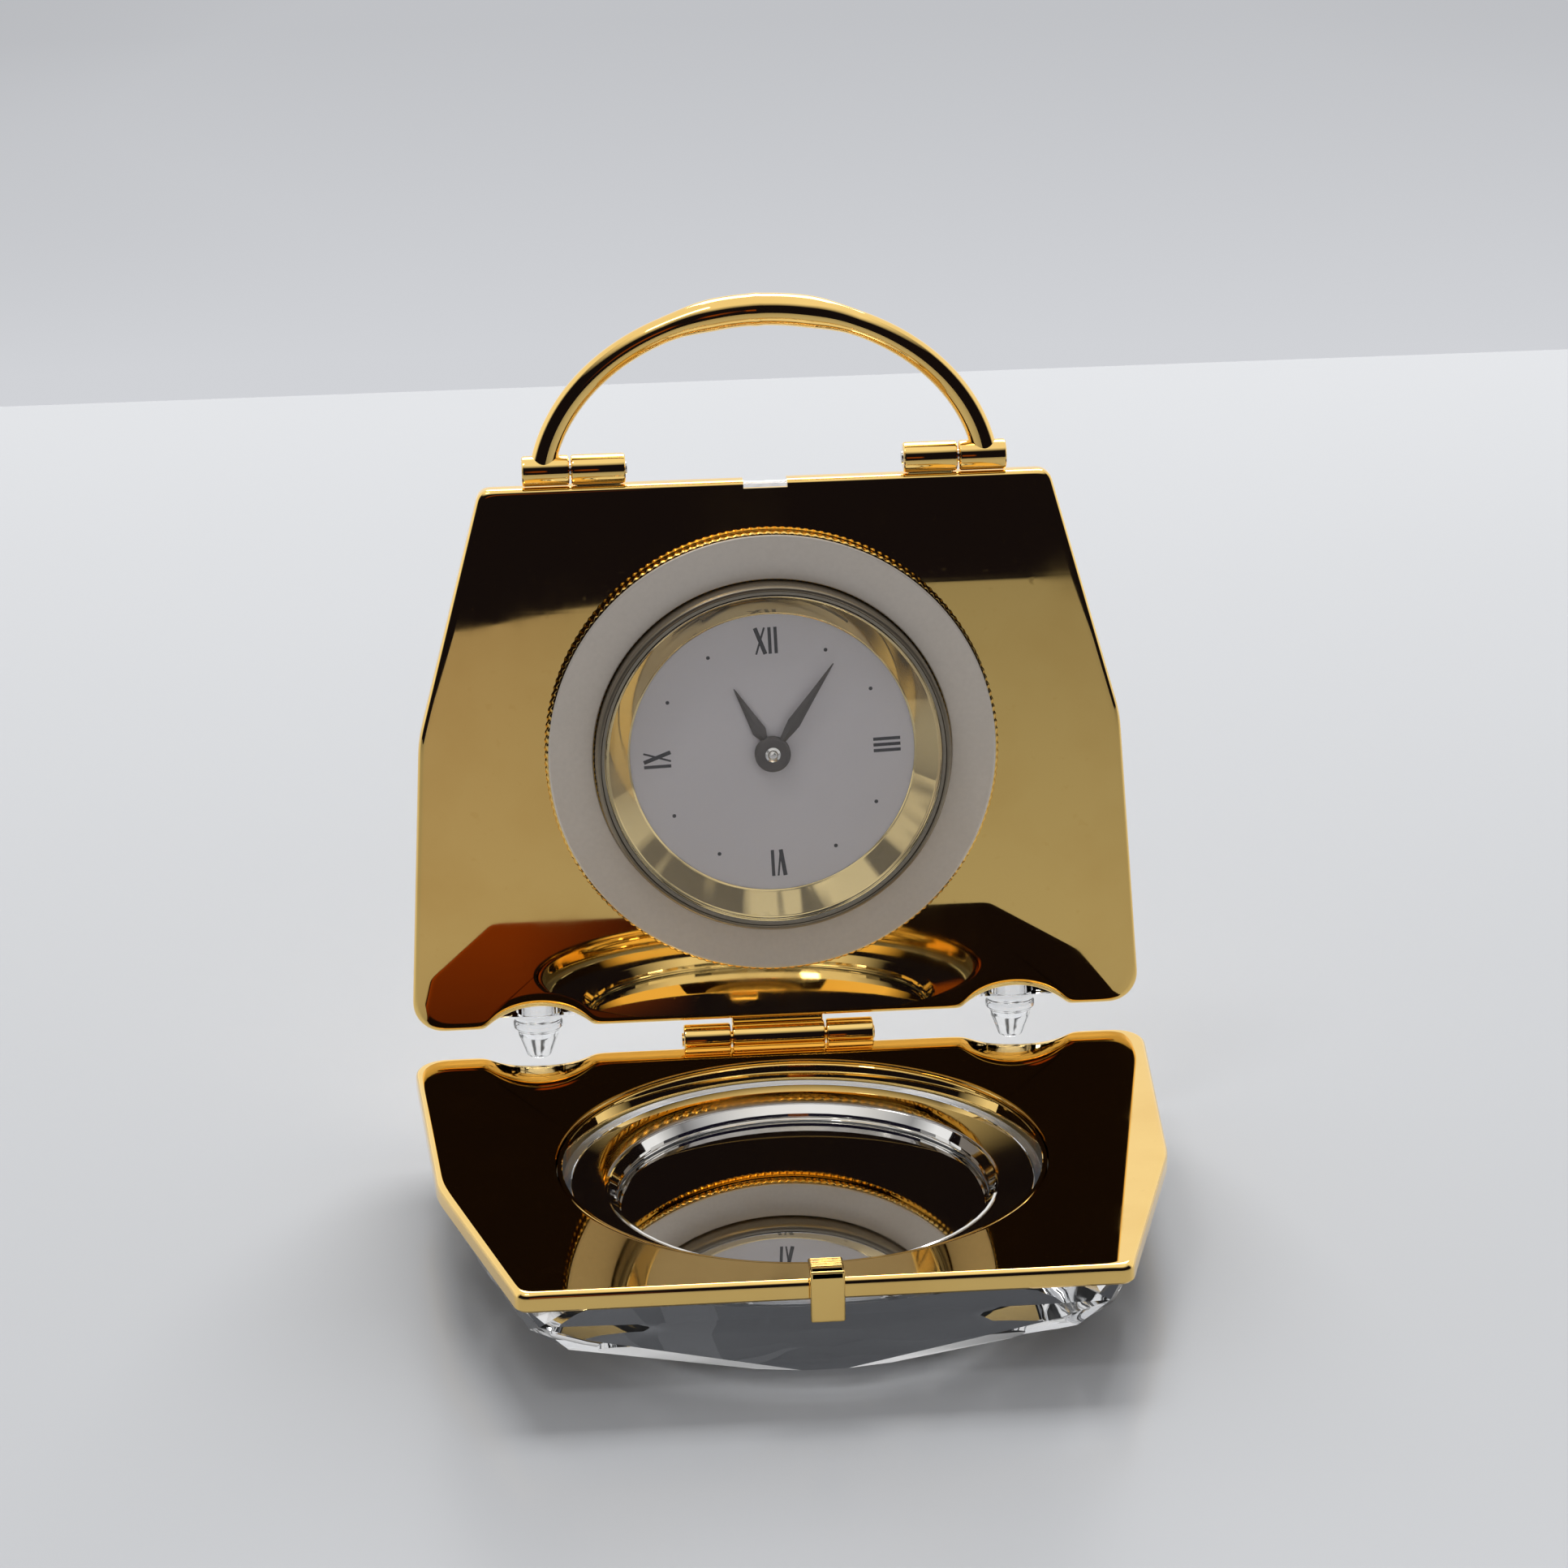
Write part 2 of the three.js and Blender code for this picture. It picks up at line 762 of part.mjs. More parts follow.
function stemHole(radius, from, to) {
  return barAlongX(radius, from, to, 0, -stemDepth, 16);
}

function clockCase() {
  const tube = ring(caseRadius - caseWall, caseRadius, -caseDepth, 0, 64);
  return cut(tube, stemHole(stemRadius + 2 * runningGap, caseRadius - 2, caseRadius + 2));
}

function caseBack() {
  return disc(caseRadius - caseWall - seatGap, -caseDepth, caseBackFront() - seatGap, 48);
}

function caseSeal() {
  const outer = caseRadius - caseWall - seatGap;
  const low = caseBackFront();
  return ring(outer - caseSealWidth, outer, low, low + caseSealThickness - seatGap, 48);
}

function mountRing() {
  const high = -frameThickness - 2 * seatGap;
  return ring(caseRadius + runningGap, mountRingRadius, high - mountRingHeight, high, 64);
}

// The plastic ring between movement and case, stepped in where it rises through the bezel.
function movementHolder() {
  const outer = caseRadius - caseWall - seatGap;
  const inner = movementRadius + holderGap;
  const neck = paleRingInner - seatGap;
  const low = caseBackFront() + caseSealThickness;
  const high = dialBack() - seatGap;
  const step = -seatGap;
  const wall = [[inner, low], [outer, low], [outer, step]];
  const body = turned([...wall, [neck, step], [neck, high], [inner, high]]);
  return cut(body, stemHole(stemRadius + 2 * runningGap, movementRadius - 1, outer + 1));
}

function atBearing(distance, bearing) {
  const angle = THREE.MathUtils.degToRad(bearing);
  return new THREE.Vector2(distance * Math.cos(angle), distance * Math.sin(angle));
}

function mainPlate() {
  const centreHole = disc(cannonRadius + 2 * runningGap, mainPlateBack() - 1, mainPlateFront() + 1, 24);
  const place = atBearing(minuteDistance, minuteWheelBearing);
  const post = disc(minutePostRadius, mainPlateFront() - postRoot, dialBack() - 2 * seatGap, 16);
  const plate = disc(movementRadius, mainPlateBack(), mainPlateFront(), 48);
  return cut(join(plate, post.translate(place.x, place.y, 0)), centreHole);
}

// A spur gear outline: straight-sided teeth, one of them pointing along x.
function gearShape(teeth, boreRadius) {
  const pitch = (gearModule * teeth) / 2;
  const tip = pitch + 0.9 * gearModule;
  const root = pitch - 1.2 * gearModule;
  const step = (2 * Math.PI) / teeth;
  const points = [];
  for (let i = 0; i < teeth; i++) {
    for (const [radius, share] of [[root, -0.3], [tip, -0.12], [tip, 0.12], [root, 0.3]]) {
      const angle = step * (i + share);
      points.push(new THREE.Vector2(radius * Math.cos(angle), radius * Math.sin(angle)));
    }
  }
  const shape = new THREE.Shape(points);
  addHole(shape, boreRadius, 16);
  return shape;
}

// A gear turned so that a tooth, or else a gap, lies at the given bearing.
function gear(teeth, boreRadius, low, bearing, toothThere) {
  const turn = THREE.MathUtils.degToRad(bearing) + (toothThere ? 0 : Math.PI / teeth);
  return slab(gearShape(teeth, boreRadius), low, low + gearThickness).rotateZ(turn);
}

function lowerGearLevel() {
  return mainPlateFront() + gearGap;
}

function upperGearLevel() {
  return lowerGearLevel() + gearThickness + gearGap;
}

function hourHandBack() {
  return dialFront() + handGap;
}

function minuteHandBack() {
  return hourHandBack() + handThickness + handGap;
}

// The minute hand's arbor, with the pinion that drives the motion work.
function cannonPinion() {
  const shoulder = minuteHandBack() - seatGap;
  const tip = minuteHandBack() + handThickness + arborTipLength;
  const root = mainPlateBack() + 2 * runningGap;
  const arbor = turned(
    [
      [0, root],
      [cannonRadius, root],
      [cannonRadius, shoulder],
      [cannonRadius / 2, shoulder],
      [cannonRadius / 2, tip],
      [0, tip],
    ],
    24,
  );
  const pinion = gear(cannonTeeth, cannonRadius / 2, lowerGearLevel(), minuteWheelBearing, true);
  return join(arbor, pinion);
}

// The wheel and pinion between the minute arbor and the hour wheel.
function minuteWheel() {
  const back = minuteWheelBearing + 180;
  const bore = minutePostRadius + runningGap;
  const wheel = gear(minuteWheelTeeth, bore, lowerGearLevel(), back, false);
  const pinion = gear(minutePinionTeeth, bore, upperGearLevel(), back, true);
  const hub = ring(bore, bore + 0.08, lowerGearLevel(), upperGearLevel() + gearThickness, 16);
  const place = atBearing(minuteDistance, minuteWheelBearing);
  return join(wheel, pinion, hub).translate(place.x, place.y, 0);
}

function hourPipeInner() {
  return cannonRadius + 1.5 * runningGap;
}

function hourPipeOuter() {
  return hourPipeInner() + hourPipeWall;
}

function hourWheel() {
  const wheel = gear(hourWheelTeeth, hourPipeInner(), upperGearLevel(), minuteWheelBearing, false);
  const pipe = ring(
    hourPipeInner(),
    hourPipeOuter(),
    upperGearLevel(),
    hourHandBack() + handThickness,
    24,
  );
  return join(wheel, pipe);
}

// A leaf hand pointing along y: round boss, slim neck, leaf and fine tip.
function handShape(length, width, holeRadius) {
  const shape = new THREE.Shape();
  const neckX = handNeckWidth / 2;
  const neckAngle = Math.asin(neckX / handBossRadius);
  const neckY = handBossRadius * Math.cos(neckAngle);
  const belly = length * handBelly;
  const swell = (belly - neckY) / 2;
  const taper = (length - belly) / 2;
  const tip = handTipWidth / 2;
  const half = width / 2;
  shape.absarc(0, 0, handBossRadius, Math.PI / 2 + neckAngle, Math.PI / 2 - neckAngle + 2 * Math.PI, false);
  shape.bezierCurveTo(neckX, neckY + swell, half, belly - swell, half, belly);
  shape.bezierCurveTo(half, belly + taper, tip, length - taper, tip, length);
  shape.lineTo(-tip, length);
  shape.bezierCurveTo(-tip, length - taper, -half, belly + taper, -half, belly);
  shape.bezierCurveTo(-half, belly - swell, -neckX, neckY + swell, -neckX, neckY);
  const outline = new THREE.Shape(shape.getPoints(6).slice(0, -1));
  addHole(outline, holeRadius, 16);
  return outline;
}

function hand(length, width, holeRadius, back, angle) {
  const flat = slab(handShape(length, width, holeRadius), back, back + handThickness);
  return flat.rotateZ(-THREE.MathUtils.degToRad(angle));
}

// The battery lies under a spring clip on the back of the main plate.
function batteryParts(group, floor) {
  const back = floor - batteryThickness;
  const battery = disc(batteryRadius, back, floor, 32).translate(batteryX, batteryY, 0);
  addPiece(group, "battery", battery, "steel");
  const half = clipWidth / 2;
  const [x0, x1] = [batteryX - batteryRadius - clipThickness, batteryX + batteryRadius - half];
  const clipFront = back - seatGap;
  const clip = block(x0, x1, batteryY - half, batteryY + half, clipFront - clipThickness, clipFront);
  addPiece(group, "battery_clip", clip, "steel");
}

// The stepping motor: a stator strip with a hole for its rotor, and a coil along its edge.
function motorParts(group, floor) {
  const [y0, y1] = [statorY - statorWidth / 2, statorY + statorWidth / 2];
  const back = floor - statorThickness;
  const stator = block(-statorLength / 2, statorLength / 2, y0, y1, back, floor);
  const rotorHole = disc(rotorHoleRadius, back - 1, floor + 1, 24).translate(rotorX, statorY, 0);
  addPiece(group, "motor_stator", cut(stator, rotorHole), "steel");
  const coilZ = back - seatGap - coilRadius;
  const coil = barAlongX(coilRadius, -coilLength / 2, coilLength / 2, coilY, coilZ, 20);
  addPiece(group, "motor_coil", coil, "copper");
}

function movementParts(group) {
  const floor = mainPlateBack() - seatGap;
  batteryParts(group, floor);
  motorParts(group, floor);
  const boardBack = floor - boardThickness;
  const board = block(boardLeft, boardRight, boardLow, boardHigh, boardBack, floor);
  addPiece(group, "circuit_board", board, "board");
  const quartzLeft = boardLeft + quartzInset;
  const quartzRight = quartzLeft + quartzLength;
  const quartzZ = boardBack - seatGap - quartzRadius;
  const quartz = barAlongX(quartzRadius, quartzLeft, quartzRight, quartzY, quartzZ, 20);
  addPiece(group, "quartz_can", quartz, "steel");
  const train = block(trainLeft, trainRight, trainLow, trainHigh, floor - trainThickness, floor);
  addPiece(group, "gear_train_cover", train, "brass");
}

function crownInnerEnd() {
  return caseRadius + seatGap;
}

function crownOuterEnd() {
  return crownInnerEnd() + crownLength;
}

function stem() {
  return stemHole(stemRadius, stemInnerEnd, crownInnerEnd() + crownSocket);
}

// A fluted setting crown, bored to take the end of the stem.
function crown() {
  const outline = new THREE.Shape(flutedPoints(crownRadius, crownFlutes, crownFluteDepth));
  const body = slab(outline, crownInnerEnd(), crownOuterEnd())
    .rotateY(Math.PI / 2)
    .translate(0, 0, -stemDepth);
  const depth = crownSocket + seatGap;
  const socket = stemHole(stemRadius + seatGap, crownInnerEnd() - 1, crownInnerEnd() + depth);
  return cut(body, socket);
}

function insertClock() {
  const clock = new THREE.Group();
  addPiece(clock, "clock_case", clockCase(), "gold");
  addPiece(clock, "knurled_bezel", knurledBezel(), "gold");
  addPiece(clock, "pale_ring", paleRing(), "paleSatin");
  addPiece(clock, "cone_ring", coneRing(), "gold");
  addPiece(clock, "dial_glass", disc(glassRadius, glassBack(), glassFront(), 48), "crystal");
  addPiece(clock, "glass_seal", glassSeal(), "rubber");
  const dialPlate = ring(dialHoleRadius, dialRadius, dialBack(), dialFront(), 48);
  addPiece(clock, "dial", dialPlate, "dial");
  addPiece(clock, "hour_wheel", hourWheel(), "brass");
  addPiece(clock, "minute_wheel", minuteWheel(), "brass");
  addPiece(clock, "cannon_pinion", cannonPinion(), "steel");
  const hourHole = hourPipeOuter() + seatGap / 2;
  const hourHand = hand(hourHandLength, hourHandWidth, hourHole, hourHandBack(), hourHandAngle);
  addPiece(clock, "hour_hand", hourHand, "hand");
  const minuteHole = cannonRadius / 2 + seatGap / 2;
  const minuteHand = hand(minuteHandLength, minuteHandWidth, minuteHole, minuteHandBack(), minuteHandAngle);
  addPiece(clock, "minute_hand", minuteHand, "hand");
  addPiece(clock, "movement_holder", movementHolder(), "whitePlastic");
  addPiece(clock, "main_plate", mainPlate(), "brass");
  movementParts(clock);
  addPiece(clock, "setting_stem", stem(), "steel");
  addPiece(clock, "setting_crown", crown(), "gold");
  addPiece(clock, "case_seal", caseSeal(), "rubber");
  addPiece(clock, "case_back", caseBack(), "steel");
  addPiece(clock, "mounting_ring", mountRing(), "rubber");
  clock.position.set(0, clockY, 0);
  clock.rotation.z = THREE.MathUtils.degToRad(dialTurn);
  return clock;
}

// ---- the two halves --------------------------------------------------------------------

function frontHalf() {
  const half = new THREE.Group();
  const [inner, outer] = sideKnuckleSpan();
  addPiece(half, "front_frame", frontFrame(), "gold");
  addPiece(half, "window_rim", windowRim(), "gold");
  addPiece(half, "front_crystal", frontCrystal(), "crystal");
  addPiece(half, "front_mirror", frontMirror(), "mirror");
  addPiece(half, "mirror_surround", mirrorSurround(), "mirror");
  addPiece(half, "front_foot_left", foot(1), "crystal");
  addPiece(half, "front_foot_right", foot(-1), "crystal");
  addPiece(half, "hinge_knuckle_left", hingeKnuckle(inner, outer), "gold");
  addPiece(half, "hinge_knuckle_right", hingeKnuckle(-outer, -inner), "gold");
  const pin = barAlongX(hingePinRadius, -hingeLength / 2 - 0.1, hingeLength / 2 + 0.1, 0, 0, 16);
  addPiece(half, "hinge_pin", pin, "steel");
  addPiece(half, "clasp_hook", claspHook(), "gold");
  addPiece(half, "clasp_pin", claspPin(), "steel");
  half.rotation.z = Math.PI;
  return half;
}

function backHalf() {
  const half = new THREE.Group();
  const centre = centreKnuckleLength / 2;
  addPiece(half, "back_frame", backFrame(), "gold");
  addPiece(half, "back_crystal", backCrystal(), "crystal");
  addPiece(half, "back_foot_left", foot(-1), "crystal");
  addPiece(half, "back_foot_right", foot(1), "crystal");
  addPiece(half, "hinge_knuckle_centre", hingeKnuckle(-centre, centre), "gold");
  addPiece(half, "handle_lug_left", fixedLug(-1), "gold");
  addPiece(half, "handle_lug_right", fixedLug(1), "gold");
  addPiece(half, "handle_pin_left", handlePin(-1), "steel");
  addPiece(half, "handle_pin_right", handlePin(1), "steel");
  addPiece(half, "handle_knuckle_left", movingKnuckle(-1), "gold");
  addPiece(half, "handle_knuckle_right", movingKnuckle(1), "gold");
  addPiece(half, "handle_bow", handleBow(), "gold");
  addPiece(half, "handle_grip", handleGrip(), "gold");
  half.add(insertClock());
  half.rotation.x = Math.PI - THREE.MathUtils.degToRad(openAngle);
  return half;
}

const handbagClock = new THREE.Group();
handbagClock.add(frontHalf(), backHalf());
handbagClock.position.set(0, clockY, halfDepth);

export default handbagClock;
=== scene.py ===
"""A miniature handbag-shaped desk clock: two gold-plated frames on cut crystals, open like a
book, with a small insert clock in the back half. Lengths in the code are millimetres in the
half's own flat frame (x across, y up the bag from the hinge axis, z out of the inner face);
placed() moves them to the object's frame in metres."""
import math

import bmesh
import bpy
import numpy as np
from mathutils import Matrix


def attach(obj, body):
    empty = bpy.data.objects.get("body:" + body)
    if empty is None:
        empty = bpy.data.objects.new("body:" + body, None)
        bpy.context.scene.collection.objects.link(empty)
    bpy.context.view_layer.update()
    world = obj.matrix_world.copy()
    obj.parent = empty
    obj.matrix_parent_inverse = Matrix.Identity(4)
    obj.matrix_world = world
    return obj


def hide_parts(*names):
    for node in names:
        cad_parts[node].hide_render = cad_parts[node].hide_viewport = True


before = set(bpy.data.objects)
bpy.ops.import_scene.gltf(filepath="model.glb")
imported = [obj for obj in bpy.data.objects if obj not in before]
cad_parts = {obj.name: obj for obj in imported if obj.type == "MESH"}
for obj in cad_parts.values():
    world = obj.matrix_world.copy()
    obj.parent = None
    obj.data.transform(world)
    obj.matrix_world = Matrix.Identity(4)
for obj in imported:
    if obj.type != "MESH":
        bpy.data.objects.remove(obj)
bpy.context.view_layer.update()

bl_info = {
    "name": "Handbag Desk Clock",
    "version": (1, 0, 0),
    "blender": (4, 5, 0),
    "location": "View3D > Sidebar > Bag Clock",
    "description": "Builds the looks of a miniature handbag desk clock round its packed frame",
    "category": "Add Mesh",
}

MM = 0.001

# ---- sizes shared with the frame, in millimetres ------------------------------------------
BOTTOM_WIDTH = 44.2
KNEE_WIDTH = 42.0
TOP_WIDTH = 33.7
KNEE_RISE = 18.2
BOTTOM_EDGE = 1.12
TOP_EDGE = 34.42
FRAME_THICKNESS = 1.2
HALF_DEPTH = 6.4
OPEN_ANGLE = 94.4
SCALLOP_X = 14.45
SCALLOP_WIDTH = 6.6
SCALLOP_RISE = 1.3
CLOCK_Y = 17.97
DIAL_TURN = 1.8
WINDOW_RADIUS = 14.13
RIM_OUTER = 14.07
RIM_INNER = 13.77
BORE_RADIUS = 12.46
CRYSTAL_TOP = -1.26
TABLE_RADIUS = 14.5
FACETS = 36
BEZEL_RADIUS = 13.55
BEZEL_FRONT = 0.81
RING_INNER = 10.66
RIM_NECK = 10.6
GLASS_RADIUS = 10.0
GLASS_FRONT = 2.31
GLASS_BACK = 1.71
DIAL_OPENING = 8.5
DIAL_RADIUS = 9.6
DIAL_FRONT = 0.35
DIAL_BACK = 0.17
DIAL_HOLE = 0.78
NUMERAL_RADIUS = 6.87
DOT_RADIUS = 7.0
HOUR_HAND_BACK = 0.55
HOUR_HAND_LENGTH = 4.6
HOUR_HAND_WIDTH = 0.8
MINUTE_HAND_BACK = 0.87
MINUTE_HAND_LENGTH = 6.6
MINUTE_HAND_WIDTH = 0.74
WELL_RADIUS = 10.9
WELL_FLOOR = -2.96
MIRROR_RADIUS = 10.69
MIRROR_BACK = -2.9
MIRROR_FRONT = -2.4
SURROUND_RADIUS = 13.3
SURROUND_DROP = 0.45
HANDLE_Y = TOP_EDGE + 0.95
HANDLE_Z = -FRAME_THICKNESS / 2
HANDLE_RISE = 9.15
HANDLE_HALF_SPAN = 13.1
HANDLE_DROP = 1.5
WIRE_RADIUS = 0.75
LUG_RADIUS = 0.9
FOOT_DEPTH = 2.75
HINGE_RADIUS = 0.93
HINGE_PIN_RADIUS = 0.42
CLASP_AXIS_Y = 33.92
CLASP_AXIS_Z = -0.65

# ---- where each half and the insert clock stand -------------------------------------------
ON_TABLE = Matrix.Translation((0, CLOCK_Y, HALF_DEPTH))
FRONT = ON_TABLE @ Matrix.Rotation(math.pi, 4, "Z")
BACK = ON_TABLE @ Matrix.Rotation(math.pi - math.radians(OPEN_ANGLE), 4, "X")
CLOCK_TURN = Matrix.Rotation(math.radians(DIAL_TURN), 4, "Z")
CLOCK = BACK @ Matrix.Translation((0, CLOCK_Y, 0)) @ CLOCK_TURN


# ---- settings a user would change ---------------------------------------------------------

def length(name, words, default):
    """A length setting, in metres."""
    return bpy.props.FloatProperty(
        name=name, description=words, default=default, min=0.0, unit="LENGTH", precision=5
    )


def colour(name, words, default):
    """A colour setting."""
    return bpy.props.FloatVectorProperty(
        name=name, description=words, default=default, size=3, min=0.0, max=1.0, subtype="COLOR"
    )


def number(name, words, default, high=10.0):
    """A plain number setting from nought to high."""
    return bpy.props.FloatProperty(
        name=name, description=words, default=default, min=0.0, max=high
    )


class BagClockSizes(bpy.types.PropertyGroup):
    """Sizes of the clock's fine detail"""

    roll_width: length("Edge roll", "Width of the rolled edge round each frame", 0.00032)
    lip_width: length("Scallop lip", "Width of the rolled lip over each foot", 0.00085)
    roll_height: length("Roll height", "How far the rolled edge falls away", 0.0004)
    foot_radius: length("Foot radius", "Radius of a clear foot at its shoulder", 0.0015)
    grip_radius: length("Grip radius", "Radius of the handle's sleeve at the crest", 0.001)
    bead_depth: length("Bead depth", "Depth of the beading round the bezel", 0.00006)
    bead_count: bpy.props.IntProperty(
        name="Beads", description="Number of beads round the bezel", default=180, min=12
    )
    numeral_height: length("Numeral height", "Height of the Roman numerals", 0.00162)
    hour_angle: bpy.props.FloatProperty(
        name="Hour hand", description="Where the hour hand points, clockwise from XII",
        default=math.radians(333), subtype="ANGLE",
    )
    minute_angle: bpy.props.FloatProperty(
        name="Minute hand", description="Where the minute hand points, clockwise from XII",
        default=math.radians(36), subtype="ANGLE",
    )


class BagClockFinish(bpy.types.PropertyGroup):
    """Colours of the clock's finishes"""

    gold: colour("Gold plate", "Colour of the polished gold plate", (0.96, 0.655, 0.215))
    pale: colour("Pale satin", "Colour of the satin ring round the dial", (0.86, 0.79, 0.70))
    crystal: colour("Crystal", "Tint of the cut crystal", (0.97, 0.97, 0.975))
    dial: colour("Dial", "Colour of the enamel dial", (0.80, 0.76, 0.775))
    ink: colour("Dial ink", "Colour of the printed numerals", (0.035, 0.03, 0.035))
    hands: colour("Hands", "Colour of the lacquered hands", (0.11, 0.095, 0.085))
    scratch: number("Fine scratches", "Strength of the fine scratches in the plating", 0.05, 1.0)


class BagClockStage(bpy.types.PropertyGroup):
    """The floor, the room and the light round the clock"""

    floor_front: length("Floor front", "How far the floor reaches in front", 0.178)
    floor_back: length("Floor back", "How far the floor reaches behind", 0.187)
    floor_side: length("Floor side", "How far the floor reaches to each side", 0.42)
    floor_tone: colour("Floor", "Colour of the pale floor", (0.66, 0.675, 0.70))
    backdrop: colour("Backdrop", "Colour seen behind the floor", (0.53, 0.54, 0.565))
    room_dark: colour("Dark side", "The dark room that the gold reflects", (0.007, 0.006, 0.014))
    room_warm: colour("Warm patch", "The warm patch that the gold reflects", (0.22, 0.055, 0.008))
    room_fill: number("Fill", "Brightness of the dark side to matt surfaces", 0.42, 2.0)
    sky: number("Soft light", "Strength of the light from above and behind", 0.34)
    sheen: number("Sheen light", "Strength of that light where polished metal reflects it", 0.96)
    sparkle: number("Sparkle", "Strength of the light seen through the crystal", 0.80)
    lamp: number("Lamp", "Power of the wide soft lamp", 2.5)
    strip: number("Strip", "Power of the small bright lamp", 0.11)


# ---- mesh building ------------------------------------------------------------------------

def placed(points, place):
    """Points in a half's own frame, in millimetres, turned and moved by place, in metres."""
    matrix = np.array(place)
    flat = np.asarray(points, float).reshape(-1, 3)
    return (flat @ matrix[:3, :3].T + matrix[:3, 3]) * MM


def grid_faces(rows, columns, rows_meet, columns_meet):
    """A quad between each grid point, its right neighbour, and the two below them."""
    i = np.arange(rows if rows_meet else rows - 1)[:, None]
    j = np.arange(columns if columns_meet else columns - 1)[None, :]
    below, right = (i + 1) % rows, (j + 1) % columns
    quads = [i * columns + j, below * columns + j, below * columns + right, i * columns + right]
    return np.stack(np.broadcast_arrays(*quads), -1).reshape(-1, 4)


def surface(grid, rows_meet=True, columns_meet=False):
    """A solid part: the points and faces of a grid of points."""
    grid = np.asarray(grid, float)
    return grid.reshape(-1, 3), grid_faces(grid.shape[0], grid.shape[1], rows_meet, columns_meet)


def together(*parts):
    """Several parts as one: points joined end to end, faces shifted to match."""
    starts = np.cumsum([0] + [len(points) for points, _ in parts[:-1]])
    points = np.concatenate([points for points, _ in parts])
    return points, np.concatenate([faces + start for (_, faces), start in zip(parts, starts)])


def moved(part, matrix):
    """The same part, its points turned and moved by a matrix given in millimetres."""
    points, faces = part
    matrix = np.array(matrix)
    return points @ matrix[:3, :3].T + matrix[:3, 3], faces


def lathe(profile, sides=96, ripple=None):
    """A profile of (radius, z) pairs carried round z: x = r cos a, y = r sin a. A ripple
    (count, depth, low, high) shrinks the radius by depth times a raised cosine of count
    waves, for the profile points between z = low and z = high."""
    profile = np.asarray(profile, float)
    angle = 2 * np.pi * np.arange(sides)[:, None] / sides
    radius = np.broadcast_to(profile[None, :, 0], (sides, len(profile))).copy()
    if ripple:
        count, depth, low, high = ripple
        waves = depth * (0.5 - 0.5 * np.cos(count * angle))
        inside = (profile[:, 1] >= low) & (profile[:, 1] <= high)
        radius -= waves * inside[None, :]
    height = np.broadcast_to(profile[None, :, 1], radius.shape)
    grid = np.stack([radius * np.cos(angle), radius * np.sin(angle), height], -1)
    return surface(grid, True, profile[0][0] > 0 and profile[-1][0] > 0)


def eased(profile, radius, steps=3):
    """A profile with each of its inner corners replaced by a short arc-like curve: points of
    a quadratic curve between the two places that lie radius from the corner."""
    profile = np.asarray(profile, float)
    out = [profile[:1]]
    t = np.linspace(0, 1, steps + 1)[:, None]
    for before, corner, after in zip(profile[:-2], profile[1:-1], profile[2:]):
        to_before, to_after = before - corner, after - corner
        near = min(radius, 0.45 * np.linalg.norm(to_before), 0.45 * np.linalg.norm(to_after))
        a = corner + to_before / np.linalg.norm(to_before) * near
        c = corner + to_after / np.linalg.norm(to_after) * near
        out.append((1 - t) ** 2 * a + 2 * t * (1 - t) * corner + t ** 2 * c)
    out.append(profile[-1:])
    return np.concatenate(out)


def tube(path, radius, sides=28):
    """A round tube: at each path point a circle of the given radius, square to the path, in
    a plane curve whose plane is z. Its ends are closed to their centres."""
    path = np.asarray(path, float)
    radius = np.broadcast_to(radius, (len(path),))
    along = np.gradient(path, axis=0)
    along /= np.linalg.norm(along, axis=1)[:, None]
    up = np.array([0.0, 0.0, 1.0])
    out = np.cross(along, up)
    out /= np.linalg.norm(out, axis=1)[:, None]
    angle = 2 * np.pi * np.arange(sides)[:, None, None] / sides
    circle = np.cos(angle) * out[None] + np.sin(angle) * up
    grid = path[None] + radius[None, :, None] * circle
    ends = [np.broadcast_to(path[k], (sides, 1, 3)) for k in (0, -1)]
    return surface(np.concatenate([ends[0], grid, ends[1]], 1))


def bar(radius, x0, x1, y, z, round_off=0.12, sides=40):
    """A round bar along x with eased ends: a lathe laid on its side."""
    profile = eased([[0, x0], [radius, x0], [radius, x1], [0, x1]], round_off)
    lay = Matrix(((0, 0, 1, 0), (1, 0, 0, y), (0, 1, 0, z), (0, 0, 0, 1)))
    return moved(lathe(profile, sides), lay)


def soft_block(x0, x1, y0, y1, z0, z1, radius=0.1, steps=3):
    """A box with rounded edges: a small sphere's grid, with each of its eight parts pushed
    out to its own corner of the box, and its two poles closed."""
    quarter = np.linspace(0, np.pi / 2, steps + 1)
    around = (quarter[None] + np.pi / 2 * np.arange(4)[:, None]).ravel()
    side_x = np.repeat([1, -1, -1, 1], steps + 1)
    side_y = np.repeat([1, 1, -1, -1], steps + 1)
    lift = np.concatenate([quarter - np.pi / 2, quarter])
    side_z = np.repeat([-1, 1], steps + 1)
    half = np.array([x1 - x0, y1 - y0, z1 - z0]) / 2 - radius
    flat = np.cos(lift)[None, :]
    grid = np.stack([
        side_x[:, None] * half[0] + radius * flat * np.cos(around)[:, None],
        side_y[:, None] * half[1] + radius * flat * np.sin(around)[:, None],
        np.broadcast_to(side_z * half[2] + radius * np.sin(lift), (len(around), len(lift))),
    ], -1)
    low, high = grid[:, :1].mean(0), grid[:, -1:].mean(0)
    ends = [np.broadcast_to(end, (len(around), 1, 3)) for end in (low, high)]
    grid = np.concatenate([ends[0], grid, ends[1]], 1)
    return surface(grid + np.array([x0 + x1, y0 + y1, z0 + z1]) / 2)


